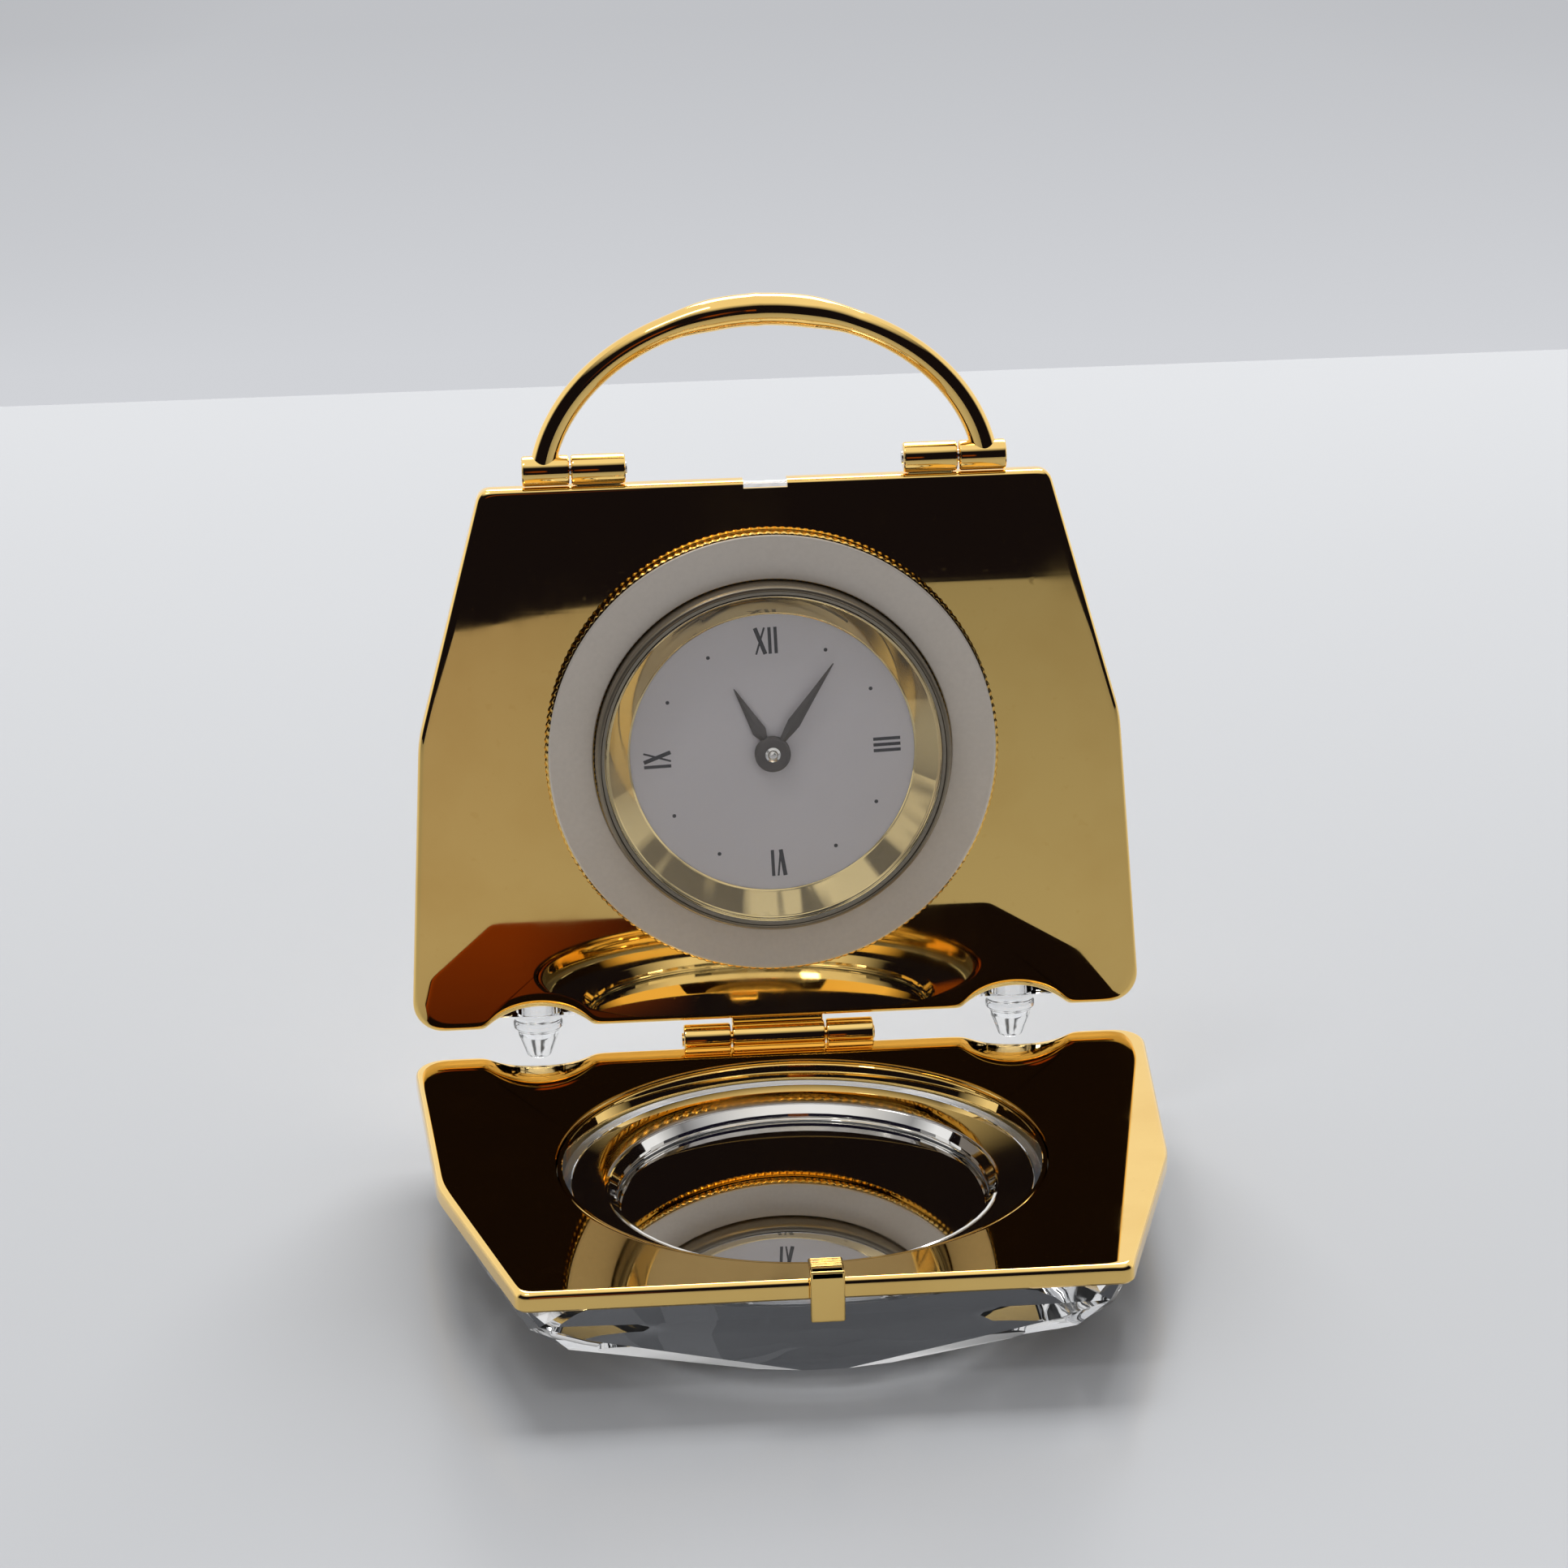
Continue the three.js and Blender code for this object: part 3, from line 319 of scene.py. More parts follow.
def make_mesh(name, part, place):
    """A mesh of a part, with doubles merged and every face turned outwards."""
    points, faces = part
    mesh = bpy.data.meshes.new(name)
    mesh.from_pydata(placed(points, place).tolist(), [], faces.tolist())
    shape = bmesh.new()
    shape.from_mesh(mesh)
    bmesh.ops.remove_doubles(shape, verts=shape.verts, dist=1e-6)
    bmesh.ops.dissolve_degenerate(shape, edges=shape.edges, dist=1e-7)
    bmesh.ops.recalc_face_normals(shape, faces=shape.faces)
    shape.to_mesh(mesh)
    shape.free()
    return mesh


# light passes clear pieces freely, so they cast no shadow
CLEAR_SLOTS = ("crystal", "clear_foot", "dial_glass")


def add_piece(name, part, place, body, slot, material, stands_for=(), crease=32, flat=True):
    """One finished piece: its mesh, its material, the body it rides on, and the CAD nodes it
    stands for, which are hidden. The slot only says whether the piece is clear and so casts no
    shadow. Edges sharper than crease degrees stay sharp, and flat faces keep flat shading."""
    mesh = make_mesh(name, part, place)
    mesh.shade_smooth()
    mesh.set_sharp_from_angle(angle=math.radians(crease))
    mesh.materials.append(material)
    piece = bpy.data.objects.new(name, mesh)
    bpy.context.scene.collection.objects.link(piece)
    if flat:
        weights = piece.modifiers.new("Flat faces", "WEIGHTED_NORMAL")
        weights.keep_sharp = True
        weights.weight = 80
    piece.visible_shadow = slot not in CLEAR_SLOTS
    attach(piece, body)
    if stands_for:
        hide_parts(*stands_for)
    return piece


def carve(piece, name, part, place):
    """Takes a part out of a piece: a boolean difference, applied to the piece's mesh while
    its other modifiers are switched off."""
    tool = bpy.data.objects.new(name, make_mesh(name, part, place))
    bpy.context.scene.collection.objects.link(tool)
    cutter = piece.modifiers.new(name, "BOOLEAN")
    cutter.operation, cutter.solver, cutter.object = "DIFFERENCE", "EXACT", tool
    for modifier in piece.modifiers:
        modifier.show_viewport = modifier.name == cutter.name
    bpy.context.view_layer.update()
    graph = bpy.context.evaluated_depsgraph_get()
    shape = bpy.data.meshes.new_from_object(piece.evaluated_get(graph))
    old, piece.data = piece.data, shape
    piece.modifiers.remove(cutter)
    for modifier in piece.modifiers:
        modifier.show_viewport = True
    bpy.data.meshes.remove(old)
    bpy.data.objects.remove(tool)
    shape.name = piece.name


# ---- the bag outline ----------------------------------------------------------------------

def corner_arc(a, b, c, radius, steps):
    """Points of the circle of that radius that touches both edges at corner b. Corners are
    complex numbers x + iy."""
    to_a, to_c = (a - b) / abs(a - b), (c - b) / abs(c - b)
    half = math.acos(np.clip((to_a * to_c.conjugate()).real, -1, 1)) / 2
    start, end = b + to_a * radius / math.tan(half), b + to_c * radius / math.tan(half)
    middle = b + (to_a + to_c) / abs(to_a + to_c) * radius / math.sin(half)
    turn = np.angle((end - middle) / (start - middle))
    return middle + (start - middle) * np.exp(1j * turn * np.linspace(0, 1, steps))


def scallop_arc(x):
    """The shallow round-topped notch over a foot, left to right."""
    half = SCALLOP_WIDTH / 2
    radius = (half ** 2 + SCALLOP_RISE ** 2) / (2 * SCALLOP_RISE)
    reach = np.linspace(-1, 1, 40) * math.asin(half / radius)
    centre = x + 1j * (BOTTOM_EDGE + SCALLOP_RISE - radius)
    return centre + radius * (np.sin(reach) + 1j * np.cos(reach))


def bag_corners():
    """The six corners of the bag, anticlockwise from the bottom left, as x + iy."""
    knee = BOTTOM_EDGE + KNEE_RISE
    halves = [(BOTTOM_WIDTH, BOTTOM_EDGE), (KNEE_WIDTH, knee), (TOP_WIDTH, TOP_EDGE)]
    right = [width / 2 + 1j * y for width, y in halves]
    return [-right[0].conjugate(), right[0], right[1], right[2],
            -right[2].conjugate(), -right[1].conjugate()]


def bag_outline(count):
    """The bag outline as evenly spaced complex points, anticlockwise."""
    corners = bag_corners()
    pieces = []
    for i, radius in enumerate([1.8, 1.8, 9.0, 0.8, 0.8, 9.0]):
        pieces.append(corner_arc(corners[i - 1], corners[i], corners[(i + 1) % 6], radius, 16))
        if i == 0:
            pieces += [scallop_arc(-SCALLOP_X), scallop_arc(SCALLOP_X)]
    points = np.concatenate(pieces)
    points = np.append(points, points[0])
    run = np.concatenate([[0], np.cumsum(abs(np.diff(points)))])
    even = np.linspace(0, run[-1], count, endpoint=False)
    return np.interp(even, run, points.real) + 1j * np.interp(even, run, points.imag)


def softened(outline, spread):
    """The outline averaged with its neighbours by a bell curve of that spread in
    millimetres, done on its Fourier terms."""
    step = abs(outline - np.roll(outline, 1)).mean()
    waves = np.fft.fftfreq(len(outline), step)
    return np.fft.ifft(np.fft.fft(outline) * np.exp(-0.5 * (2 * np.pi * waves * spread) ** 2))


def outward(outline):
    """The unit normal of an anticlockwise outline at each of its points."""
    along = np.roll(outline, -1) - np.roll(outline, 1)
    return -1j * along / abs(along)


def framed(rows):
    """A grid from a list of (complex outline, z), one row after another round the section."""
    grid = [np.stack([o.real, o.imag, np.broadcast_to(z, o.shape)], -1) for o, z in rows]
    return surface(np.stack(grid, 1), True, True)


def frame_plate(hole_radius, sizes, count=960):
    """A frame plate: a section carried round the bag outline. It runs from the hole's edge
    across the flat inner face, down a quarter-round roll, back across the rear face and up
    the hole's wall. The roll widens to a lip over each foot."""
    roll, lip = sizes.roll_width / MM, sizes.lip_width / MM
    height = sizes.roll_height / MM
    outline = bag_outline(count)
    edge, guide = softened(outline, 0.16), softened(outline, 0.5)
    over_foot = np.exp(-((abs(guide.real) - SCALLOP_X) / 2.6) ** 6) * (guide.imag < CLOCK_Y / 2)
    width = roll + (lip - roll) * over_foot
    flat_edge = guide - outward(guide) * width
    centre = 1j * CLOCK_Y
    ray = np.exp(1j * np.angle(guide - centre))

    def hole(more):
        return centre + ray * (hole_radius + more)

    def across(share, outer):
        return hole(0.12) * (1 - share) + outer * share

    ease, back = 0.1, 0.15
    face = -0.01        # a hair under the joint plane, so that closed halves don't touch
    rows = [(hole(0), face - ease), (hole(0.03), face - 0.03), (hole(ease), face)]
    rows += [(across(share, flat_edge), face) for share in (0.02, 0.3, 0.7, 0.97, 1.0)]
    for turn in np.linspace(0, np.pi / 2, 9)[1:]:
        drop = height * (1 - math.cos(turn))
        rows.append((flat_edge + (edge - flat_edge) * math.sin(turn), face - drop))
    rear = edge - outward(guide) * back
    rows.append((edge, -FRAME_THICKNESS + back))
    rows.append((edge * 0.3 + rear * 0.7, -FRAME_THICKNESS + 0.3 * back))
    rows.append((rear, -FRAME_THICKNESS))
    rows += [(across(share, rear), -FRAME_THICKNESS) for share in (0.97, 0.5, 0.02)]
    rows += [(hole(0.03), -FRAME_THICKNESS), (hole(0), -FRAME_THICKNESS + 0.04)]
    return framed(rows)


# ---- shader groups and materials ----------------------------------------------------------

class NodeSheet:
    """Short calls for building a node tree: add() makes a node and sets its inputs, each
    given as a plain value or as another node's output."""

    def __init__(self, tree):
        self.tree = tree

    def add(self, kind, inputs=(), **settings):
        node = self.tree.nodes.new(kind)
        for key, value in settings.items():
            setattr(node, key, value)
        for key, value in dict(inputs).items():
            if isinstance(value, bpy.types.NodeSocket):
                self.tree.links.new(value, node.inputs[key])
            else:
                node.inputs[key].default_value = value
        return node

    def maths(self, operation, *values, clamp=False):
        """One sum on up to three values."""
        node = self.add("ShaderNodeMath", enumerate(values), operation=operation)
        node.use_clamp = clamp
        return node.outputs[0]

    def mix(self, share, a, b):
        """Colour a where share is 0, colour b where it is 1."""
        node = self.add("ShaderNodeMix", {0: share, 6: a, 7: b}, data_type="RGBA")
        return node.outputs[2]

    def grey(self, value):
        """A value as a grey colour."""
        return self.add("ShaderNodeCombineColor", {0: value, 1: value, 2: value}).outputs[0]

    def range(self, value, low, high, to_low, to_high):
        """A value carried from one range to another, and held at its ends."""
        node = self.add("ShaderNodeMapRange", {0: value, 1: low, 2: high, 3: to_low, 4: to_high})
        return node.outputs[0]

    def noise(self, scale, detail=2.0, stretch=None, where=None):
        """Cloudy noise from 0 to 1, on object coordinates unless where says otherwise."""
        if where is None:
            where = self.add("ShaderNodeTexCoord").outputs["Object"]
        if stretch:
            where = self.add("ShaderNodeMapping", {"Vector": where, "Scale": stretch}).outputs[0]
        node = self.add("ShaderNodeTexNoise", {"Vector": where, "Scale": scale, "Detail": detail})
        return node.outputs["Fac"]


def new_group(name, inputs, outputs):
    """A shader node group with named float or colour inputs and outputs."""
    tree = bpy.data.node_groups.new(name, "ShaderNodeTree")
    for label, kind, value in inputs:
        socket = tree.interface.new_socket(label, in_out="INPUT", socket_type=kind)
        socket.default_value = value
    for label, kind in outputs:
        tree.interface.new_socket(label, in_out="OUTPUT", socket_type=kind)
    start, end = tree.nodes.new("NodeGroupInput"), tree.nodes.new("NodeGroupOutput")
    return tree, NodeSheet(tree), start.outputs, end.inputs


COLOUR, NUMBER = "NodeSocketColor", "NodeSocketFloat"
SURFACE_OUTPUTS = [("Color", COLOUR), ("Roughness", NUMBER), ("Height", NUMBER)]


def plating_group():
    """Polished plating: cloudy handling marks and fine crossed scratches. Roughness rises
    in the marks, the colour deepens a little in them, and Height carries the scratches and
    the slow ripple of buffed metal."""
    tree, sheet, given, out = new_group(
        "Buffed plating",
        [("Base", COLOUR, (0.8, 0.6, 0.2, 1)), ("Deep", COLOUR, (0.7, 0.4, 0.1, 1)),
         ("Smooth", NUMBER, 0.04), ("Dull", NUMBER, 0.14), ("Scratches", NUMBER, 0.1)],
        SURFACE_OUTPUTS,
    )
    clouds = sheet.range(sheet.noise(160, 5), 0.45, 0.72, 0, 1)
    specks = sheet.range(sheet.noise(1500, 2), 0.66, 0.74, 0, 1)
    marks = sheet.maths("MAXIMUM", clouds, sheet.maths("MULTIPLY", specks, 0.6))
    hair_a = sheet.range(sheet.noise(900, 1, (1.0, 0.03, 0.05)), 0.62, 0.7, 0, 1)
    hair_b = sheet.range(sheet.noise(1100, 1, (0.04, 1.0, 1.2)), 0.63, 0.7, 0, 1)
    hair = sheet.maths("ADD", hair_a, hair_b)
    scratches = sheet.maths("MULTIPLY", hair, given["Scratches"])
    dulling = sheet.maths("ADD", marks, scratches, clamp=True)
    rough = sheet.add("ShaderNodeMapRange", {0: dulling, 3: given["Smooth"], 4: given["Dull"]})
    ripple = sheet.maths("MULTIPLY", sheet.noise(90, 1), 0.6)
    height = sheet.maths("SUBTRACT", ripple, scratches)
    tint = sheet.mix(sheet.maths("MULTIPLY", marks, 0.5), given["Base"], given["Deep"])
    tree.links.new(tint, out["Color"])
    tree.links.new(rough.outputs[0], out["Roughness"])
    tree.links.new(height, out["Height"])
    return tree


def grain_group():
    """Fine even grain: a speckle that varies colour and roughness a little, and a Height
    for satin, moulded or cast surfaces."""
    tree, sheet, given, out = new_group(
        "Fine grain",
        [("Base", COLOUR, (0.5, 0.5, 0.5, 1)), ("Shade", COLOUR, (0.4, 0.4, 0.4, 1)),
         ("Scale", NUMBER, 2000.0), ("Low", NUMBER, 0.3), ("High", NUMBER, 0.5)],
        SURFACE_OUTPUTS,
    )
    where = sheet.add("ShaderNodeTexCoord").outputs["Object"]
    fine = sheet.add("ShaderNodeTexNoise",
                     {"Vector": where, "Scale": given["Scale"], "Detail": 3.0})
    broad = sheet.maths("MULTIPLY", sheet.noise(140, 3), 0.5)
    both = sheet.maths("MULTIPLY_ADD", fine.outputs["Fac"], 0.5, broad)
    share = sheet.range(both, 0.35, 0.65, 0, 1)
    tree.links.new(sheet.mix(share, given["Base"], given["Shade"]), out["Color"])
    rough = sheet.add("ShaderNodeMapRange", {0: share, 3: given["Low"], 4: given["High"]})
    tree.links.new(rough.outputs[0], out["Roughness"])
    tree.links.new(fine.outputs["Fac"], out["Height"])
    return tree


def group_tree(maker, name):
    """A node group by name, built the first time it is asked for."""
    return bpy.data.node_groups.get(name) or maker()


def start_material(name):
    """A new material with its node sheet and its shader."""
    material = bpy.data.materials.new(name)
    material.use_nodes = True
    return material, NodeSheet(material.node_tree), material.node_tree.nodes["Principled BSDF"]


def use_group(sheet, shader, tree, values, bump, distance):
    """Places a group in a material and joins its colour, roughness and height."""
    node = sheet.add("ShaderNodeGroup", node_tree=tree)
    for key, value in values.items():
        node.inputs[key].default_value = value
    sheet.tree.links.new(node.outputs["Color"], shader.inputs["Base Color"])
    sheet.tree.links.new(node.outputs["Roughness"], shader.inputs["Roughness"])
    normal = sheet.add("ShaderNodeBump", {"Strength": bump, "Distance": distance,
                                          "Height": node.outputs["Height"]})
    sheet.tree.links.new(normal.outputs[0], shader.inputs["Normal"])


def solid_colour(rgb, factor=1.0):
    """An opaque colour, made lighter or darker by factor and kept below white."""
    return (*(min(1.0, c * factor) for c in rgb), 1.0)


def plated(name, rgb, smooth=0.015, dull=0.06, scratches=0.1, bump=0.03):
    """A polished metal: deep colour in the handling marks, hairline scratches."""
    material, sheet, shader = start_material(name)
    shader.inputs["Metallic"].default_value = 1.0
    deep = solid_colour((rgb[0] * 0.9, rgb[1] * 0.84, rgb[2] * 0.75))
    use_group(sheet, shader, group_tree(plating_group, "Buffed plating"),
              {"Base": solid_colour(rgb), "Deep": deep, "Smooth": smooth, "Dull": dull,
               "Scratches": scratches}, bump, 0.00002)
    return material


def grained(name, rgb, metallic=0.0, scale=2200.0, low=0.3, high=0.5, shade=0.85, bump=0.1,
            coat=0.0, distance=0.00001):
    """A satin, moulded or lacquered surface with a fine grain."""
    material, sheet, shader = start_material(name)
    shader.inputs["Metallic"].default_value = metallic
    shader.inputs["Coat Weight"].default_value = coat
    shader.inputs["Coat Roughness"].default_value = 0.08
    use_group(sheet, shader, group_tree(grain_group, "Fine grain"),
              {"Base": solid_colour(rgb), "Shade": solid_colour(rgb, shade), "Scale": scale,
               "Low": low, "High": high}, bump, distance)
    return material


def clear(name, rgb, ior, rough_low, rough_high, bump):
    """Clear glass or plastic: faint smears in the roughness and a faint ripple."""
    material, sheet, shader = start_material(name)
    shader.inputs["Transmission Weight"].default_value = 1.0
    shader.inputs["IOR"].default_value = ior
    shader.inputs["Base Color"].default_value = solid_colour(rgb)
    smear = sheet.range(sheet.noise(180, 4), 0.5, 0.75, rough_low, rough_high)
    sheet.tree.links.new(smear, shader.inputs["Roughness"])
    normal = sheet.add("ShaderNodeBump", {"Strength": bump, "Distance": 0.00002,
                                          "Height": sheet.noise(220, 2)})
    sheet.tree.links.new(normal.outputs[0], shader.inputs["Normal"])
    return material


def coil_windings():
    """Copper wire wound round the coil: fine bands along x in colour and height. The colour
    darkens between the turns as painted shade.
    """
    material, sheet, shader = start_material("Copper winding")
    shader.inputs["Metallic"].default_value = 1.0
    where = sheet.add("ShaderNodeTexCoord").outputs["Object"]
    bands = sheet.add("ShaderNodeTexWave", {"Vector": where, "Scale": 2600.0, "Distortion": 0.6},
                      wave_type="BANDS", bands_direction="X").outputs["Fac"]
    # the dark band colour between the turns is painted shade
    copper_with_painted_shade = sheet.mix(bands, (0.24, 0.07, 0.025, 1), (0.72, 0.27, 0.10, 1))
    sheet.tree.links.new(copper_with_painted_shade, shader.inputs["Base Color"])
    sheet.tree.links.new(sheet.range(bands, 0, 1, 0.5, 0.25), shader.inputs["Roughness"])
    normal = sheet.add("ShaderNodeBump", {"Strength": 0.6, "Distance": 0.00004, "Height": bands})
    sheet.tree.links.new(normal.outputs[0], shader.inputs["Normal"])
    return material


FINISH_MAKERS = {
    "gold": lambda f: plated("Polished gold plate", f.gold, scratches=f.scratch),
    # the cone's gold is the plate's gold made darker and less saturated; the darkening is painted
    # shade
    "gold_cone_shaded": lambda f: plated("Gold darkened as painted shade", (0.76, 0.60, 0.29), 0.03, 0.08, 0.1, 0.02),
    "pale": lambda f: grained("Pale satin", f.pale, 0.45, 3500, 0.36, 0.48, 0.94, 0.05),
    "crystal": lambda f: clear("Cut crystal", f.crystal, 1.54, 0.0, 0.02, 0.0),
    "dial_glass": lambda f: clear("Watch glass", (0.985, 0.985, 0.99), 1.5, 0.0, 0.015, 0.0),
    "silver": lambda f: plated("Silvered ring", (0.82, 0.81, 0.79), 0.03, 0.09, 0.1, 0.05),
    "mirror": lambda f: plated("Silvered mirror", (0.90, 0.90, 0.89), 0.012, 0.05, 0.04, 0.0),
    "rim": lambda f: grained("Satin rim", (0.33, 0.285, 0.215), 0.85, 3500, 0.28, 0.4, 0.9, 0.05),
    "gasket": lambda f: grained("Nylon gasket", (0.27, 0.24, 0.19), 0.0, 3000, 0.4, 0.55, 0.85,
                                0.1),
    "clear_foot": lambda f: clear("Clear plastic", (0.94, 0.95, 0.96), 1.49, 0.03, 0.12, 0.05),
    "dial": lambda f: grained("Dial enamel", f.dial, 0.0, 5200, 0.38, 0.5, 0.965, 0.08),
    "ink": lambda f: grained("Dial ink", f.ink, 0.0, 6000, 0.35, 0.5, 0.8, 0.05),
    "hands": lambda f: grained("Hand lacquer", f.hands, 0.35, 4200, 0.28, 0.42, 0.8, 0.08),
    "steel": lambda f: plated("Bright steel", (0.56, 0.57, 0.585), 0.12, 0.3, 0.5, 0.12),
    "brass": lambda f: plated("Lacquered brass", (0.74, 0.53, 0.24), 0.16, 0.32, 0.4, 0.12),
    "rubber": lambda f: grained("Black rubber", (0.018, 0.018, 0.02), 0.0, 2600, 0.6, 0.8, 0.7,
                                0.3),
    "white": lambda f: grained("White moulding", (0.73, 0.715, 0.66), 0.0, 1800, 0.42, 0.55,
                               0.92, 0.12),
    "board": lambda f: grained("Circuit board", (0.02, 0.15, 0.065), 0.0, 2400, 0.35, 0.5, 0.6,
                               0.15),
    "copper": lambda f: coil_windings(),
    "bright_pin": lambda f: plated("Polished pin", (0.78, 0.77, 0.74), 0.08, 0.2, 0.3, 0.05),
}


def finish(name):
    """The material for a finish, made the first time it is used."""
    holder = bpy.context.scene.bag_clock_finish
    known = bpy.data.materials.get(holder.get(name, ""))
    if known is None:
        known = FINISH_MAKERS[name](holder)
        holder[name] = known.name
    return known


# ---- operators ----------------------------------------------------------------------------

class StageOperator(bpy.types.Operator):
    """Add the pale floor, the soft light, the room that the gold reflects and the camera"""

    bl_idname = "bag_clock.stage"
    bl_label = "Stage"

    def execute(self, context):
        look = context.scene.bag_clock_stage
        context.scene.view_settings.view_transform = "Standard"
        self.add_floor(look)
        self.add_world(context, look)
        self.add_lamps(look)
        self.add_camera(context)
        return {"FINISHED"}

    def add_floor(self, look):
        """A flat grid: y runs from the front edge, which waves a little, to the back edge."""
        across = np.linspace(-look.floor_side, look.floor_side, 80)
        share = np.linspace(0, 1, 12)[:, None]
        front = -look.floor_front + 0.012 * np.tanh((-across - 0.01) / 0.012)
        deep = front * (1 - share) + look.floor_back * share
        grid = np.stack([np.broadcast_to(across, deep.shape), deep, np.zeros(deep.shape)], -1)
        points, faces = surface(grid / MM, False, False)
        floor = bpy.data.objects.new("floor", make_mesh("floor", (points, faces), Matrix()))
        bpy.context.scene.collection.objects.link(floor)
        if floor.data.polygons[0].normal.z < 0:
            floor.data.flip_normals()
        material, sheet, shader = start_material("Pale gloss floor")
        tone = sheet.mix(sheet.noise(9, 3), solid_colour(look.floor_tone),
                         solid_colour(look.floor_tone, 0.95))
        sheet.tree.links.new(tone, shader.inputs["Base Color"])
        shader.inputs["Roughness"].default_value = 0.22
        shader.inputs["Specular IOR Level"].default_value = 0.35
        floor.data.materials.append(material)

    def add_world(self, context, look):
        """Camera rays see a pale wall with soft darker blotches, painted lighter low down as
        painted light. Rays off polished metal see a dark room in front, with a warm patch low on
        the left, and bright light behind and above. Matt surfaces get a grey fill and softer
        light instead.
        Rays through the crystal see light broken by dark patches."""
        world = context.scene.world or bpy.data.worlds.new("Room")
        context.scene.world = world
        world.use_nodes = True
        sheet = NodeSheet(world.node_tree)
        back = world.node_tree.nodes["Background"]
        where = sheet.add("ShaderNodeTexCoord").outputs["Generated"]
        x, y, z = sheet.add("ShaderNodeSeparateXYZ", {0: where}).outputs
        dark, warm = solid_colour(look.room_dark), solid_colour(look.room_warm)
        left = sheet.maths("MULTIPLY", sheet.range(x, 0.045, 0.015, 0, 1),
                           sheet.range(x, -0.2, -0.1, 0, 1))
        level = sheet.maths("MULTIPLY", sheet.range(z, 0.26, 0.21, 0, 1),
                            sheet.range(z, 0.06, 0.1, 0, 1))
        room = sheet.mix(sheet.maths("MULTIPLY", left, level), dark, warm)
        path = sheet.add("ShaderNodeLightPath").outputs
        fill = (look.room_fill, look.room_fill, look.room_fill * 1.03, 1)
        polished = path["Is Glossy Ray"]
        through = path["Is Transmission Ray"]
        strength = sheet.range(polished, 0, 1, look.sky, look.sheen)
        pale = sheet.grey(strength)
        behind = sheet.range(y, -0.12, 0.2, 0, 1)
        above = sheet.range(z, 0.62, 0.86, 0, 1)
        lit = sheet.maths("MAXIMUM", behind, above)
        seen = sheet.mix(lit, sheet.mix(polished, fill, room), pale)
        patches = sheet.range(sheet.noise(3.2, 2, None, where), 0.42, 0.5, 0.12, 1)
        clearer = sheet.maths("MULTIPLY", patches, look.sparkle)
        seen = sheet.mix(through, seen, sheet.grey(clearer))
        blotch = sheet.range(sheet.noise(5.0, 1, (1, 1, 2.4), where), 0.56, 0.74, 0, 0.35)
        wall = sheet.mix(blotch, solid_colour(look.backdrop), solid_colour(look.backdrop, 0.72))
        # the wall is painted lighter low down: painted light
        low_wall_painted_light = sheet.range(z, -0.205, -0.265, 0, 1)
        wall = sheet.mix(low_wall_painted_light, wall, solid_colour(look.backdrop, 1.2))
        room_light = sheet.mix(path["Is Camera Ray"], seen, wall)
        world.node_tree.links.new(room_light, back.inputs["Color"])

    def add_lamps(self, look):
        """A wide soft lamp above and behind, and a small one above on the left for glints."""
        for name, size, power, place, turn in (
            ("Soft lamp", (0.40, 0.24), look.lamp, (0.05, 0.40, 0.46), (-41, 5)),
            ("Strip lamp", (0.09, 0.06), look.strip, (-0.12, -0.08, 0.38), (13, -17)),
        ):
            data = bpy.data.lights.new(name, "AREA")
            data.shape, data.energy = "RECTANGLE", power
            data.size, data.size_y = size
            lamp = bpy.data.objects.new(name, data)
            lamp.location = place
            lamp.rotation_euler = (math.radians(turn[0]), math.radians(turn[1]), 0)
            bpy.context.scene.collection.objects.link(lamp)

    def add_camera(self, context):
        """A long lens in front of the clock and above it."""
        data = bpy.data.cameras.new("Camera")
        data.lens, data.sensor_width = 120.49, 36.0
        data.clip_start, data.clip_end = 0.01, 20.0
        camera = bpy.data.objects.new("Camera", data)
        camera.location = (-0.020407, -0.274846, 0.130215)
        camera.rotation_euler = [math.radians(a) for a in (69.8686, 0.9231, -4.4436)]
        bpy.context.scene.collection.objects.link(camera)
        context.scene.camera = camera


class FramesOperator(bpy.types.Operator):
    """Add the two gold-plated frames with rolled edges, and the rim inside the window"""

    bl_idname = "bag_clock.frames"
    bl_label = "Gold frames"

    def execute(self, context):
        sizes = context.scene.bag_clock_sizes
        gold = finish("gold")
        front = add_piece("front_frame_plate", frame_plate(WINDOW_RADIUS, sizes), FRONT,
                          "front_half", "gold_plate", gold, ["front_frame"])
        pocket = soft_block(-0.67, 0.67, 33.38, TOP_EDGE + 1, -2.2, -0.11, 0.02)
        carve(front, "clasp_pocket", pocket, FRONT)
        back = add_piece("back_frame_plate", frame_plate(BORE_RADIUS, sizes), BACK,
                         "back_half", "gold_plate", gold, ["back_frame"])
        relief = soft_block(-1.3, 1.3, 33.07, TOP_EDGE + 1, -2.2, -0.3, 0.02)
        trim = soft_block(-1.3, 1.3, 33.97, TOP_EDGE + 1, -2.2, 1.0, 0.02)
        carve(back, "catch_relief", relief, BACK)
        carve(back, "catch_trim", trim, BACK)
        rim = lathe(eased([[RIM_INNER, -0.7], [RIM_INNER, -0.12], [RIM_OUTER, -0.12],
                           [RIM_OUTER, -FRAME_THICKNESS], [RIM_INNER, -FRAME_THICKNESS],
                           [RIM_INNER, -0.75]], 0.1), 192)
        add_piece("window_rim_ring", moved(rim, Matrix.Translation((0, CLOCK_Y, 0))), FRONT,
                  "front_half", "gold_plate", gold, ["window_rim"])
        return {"FINISHED"}


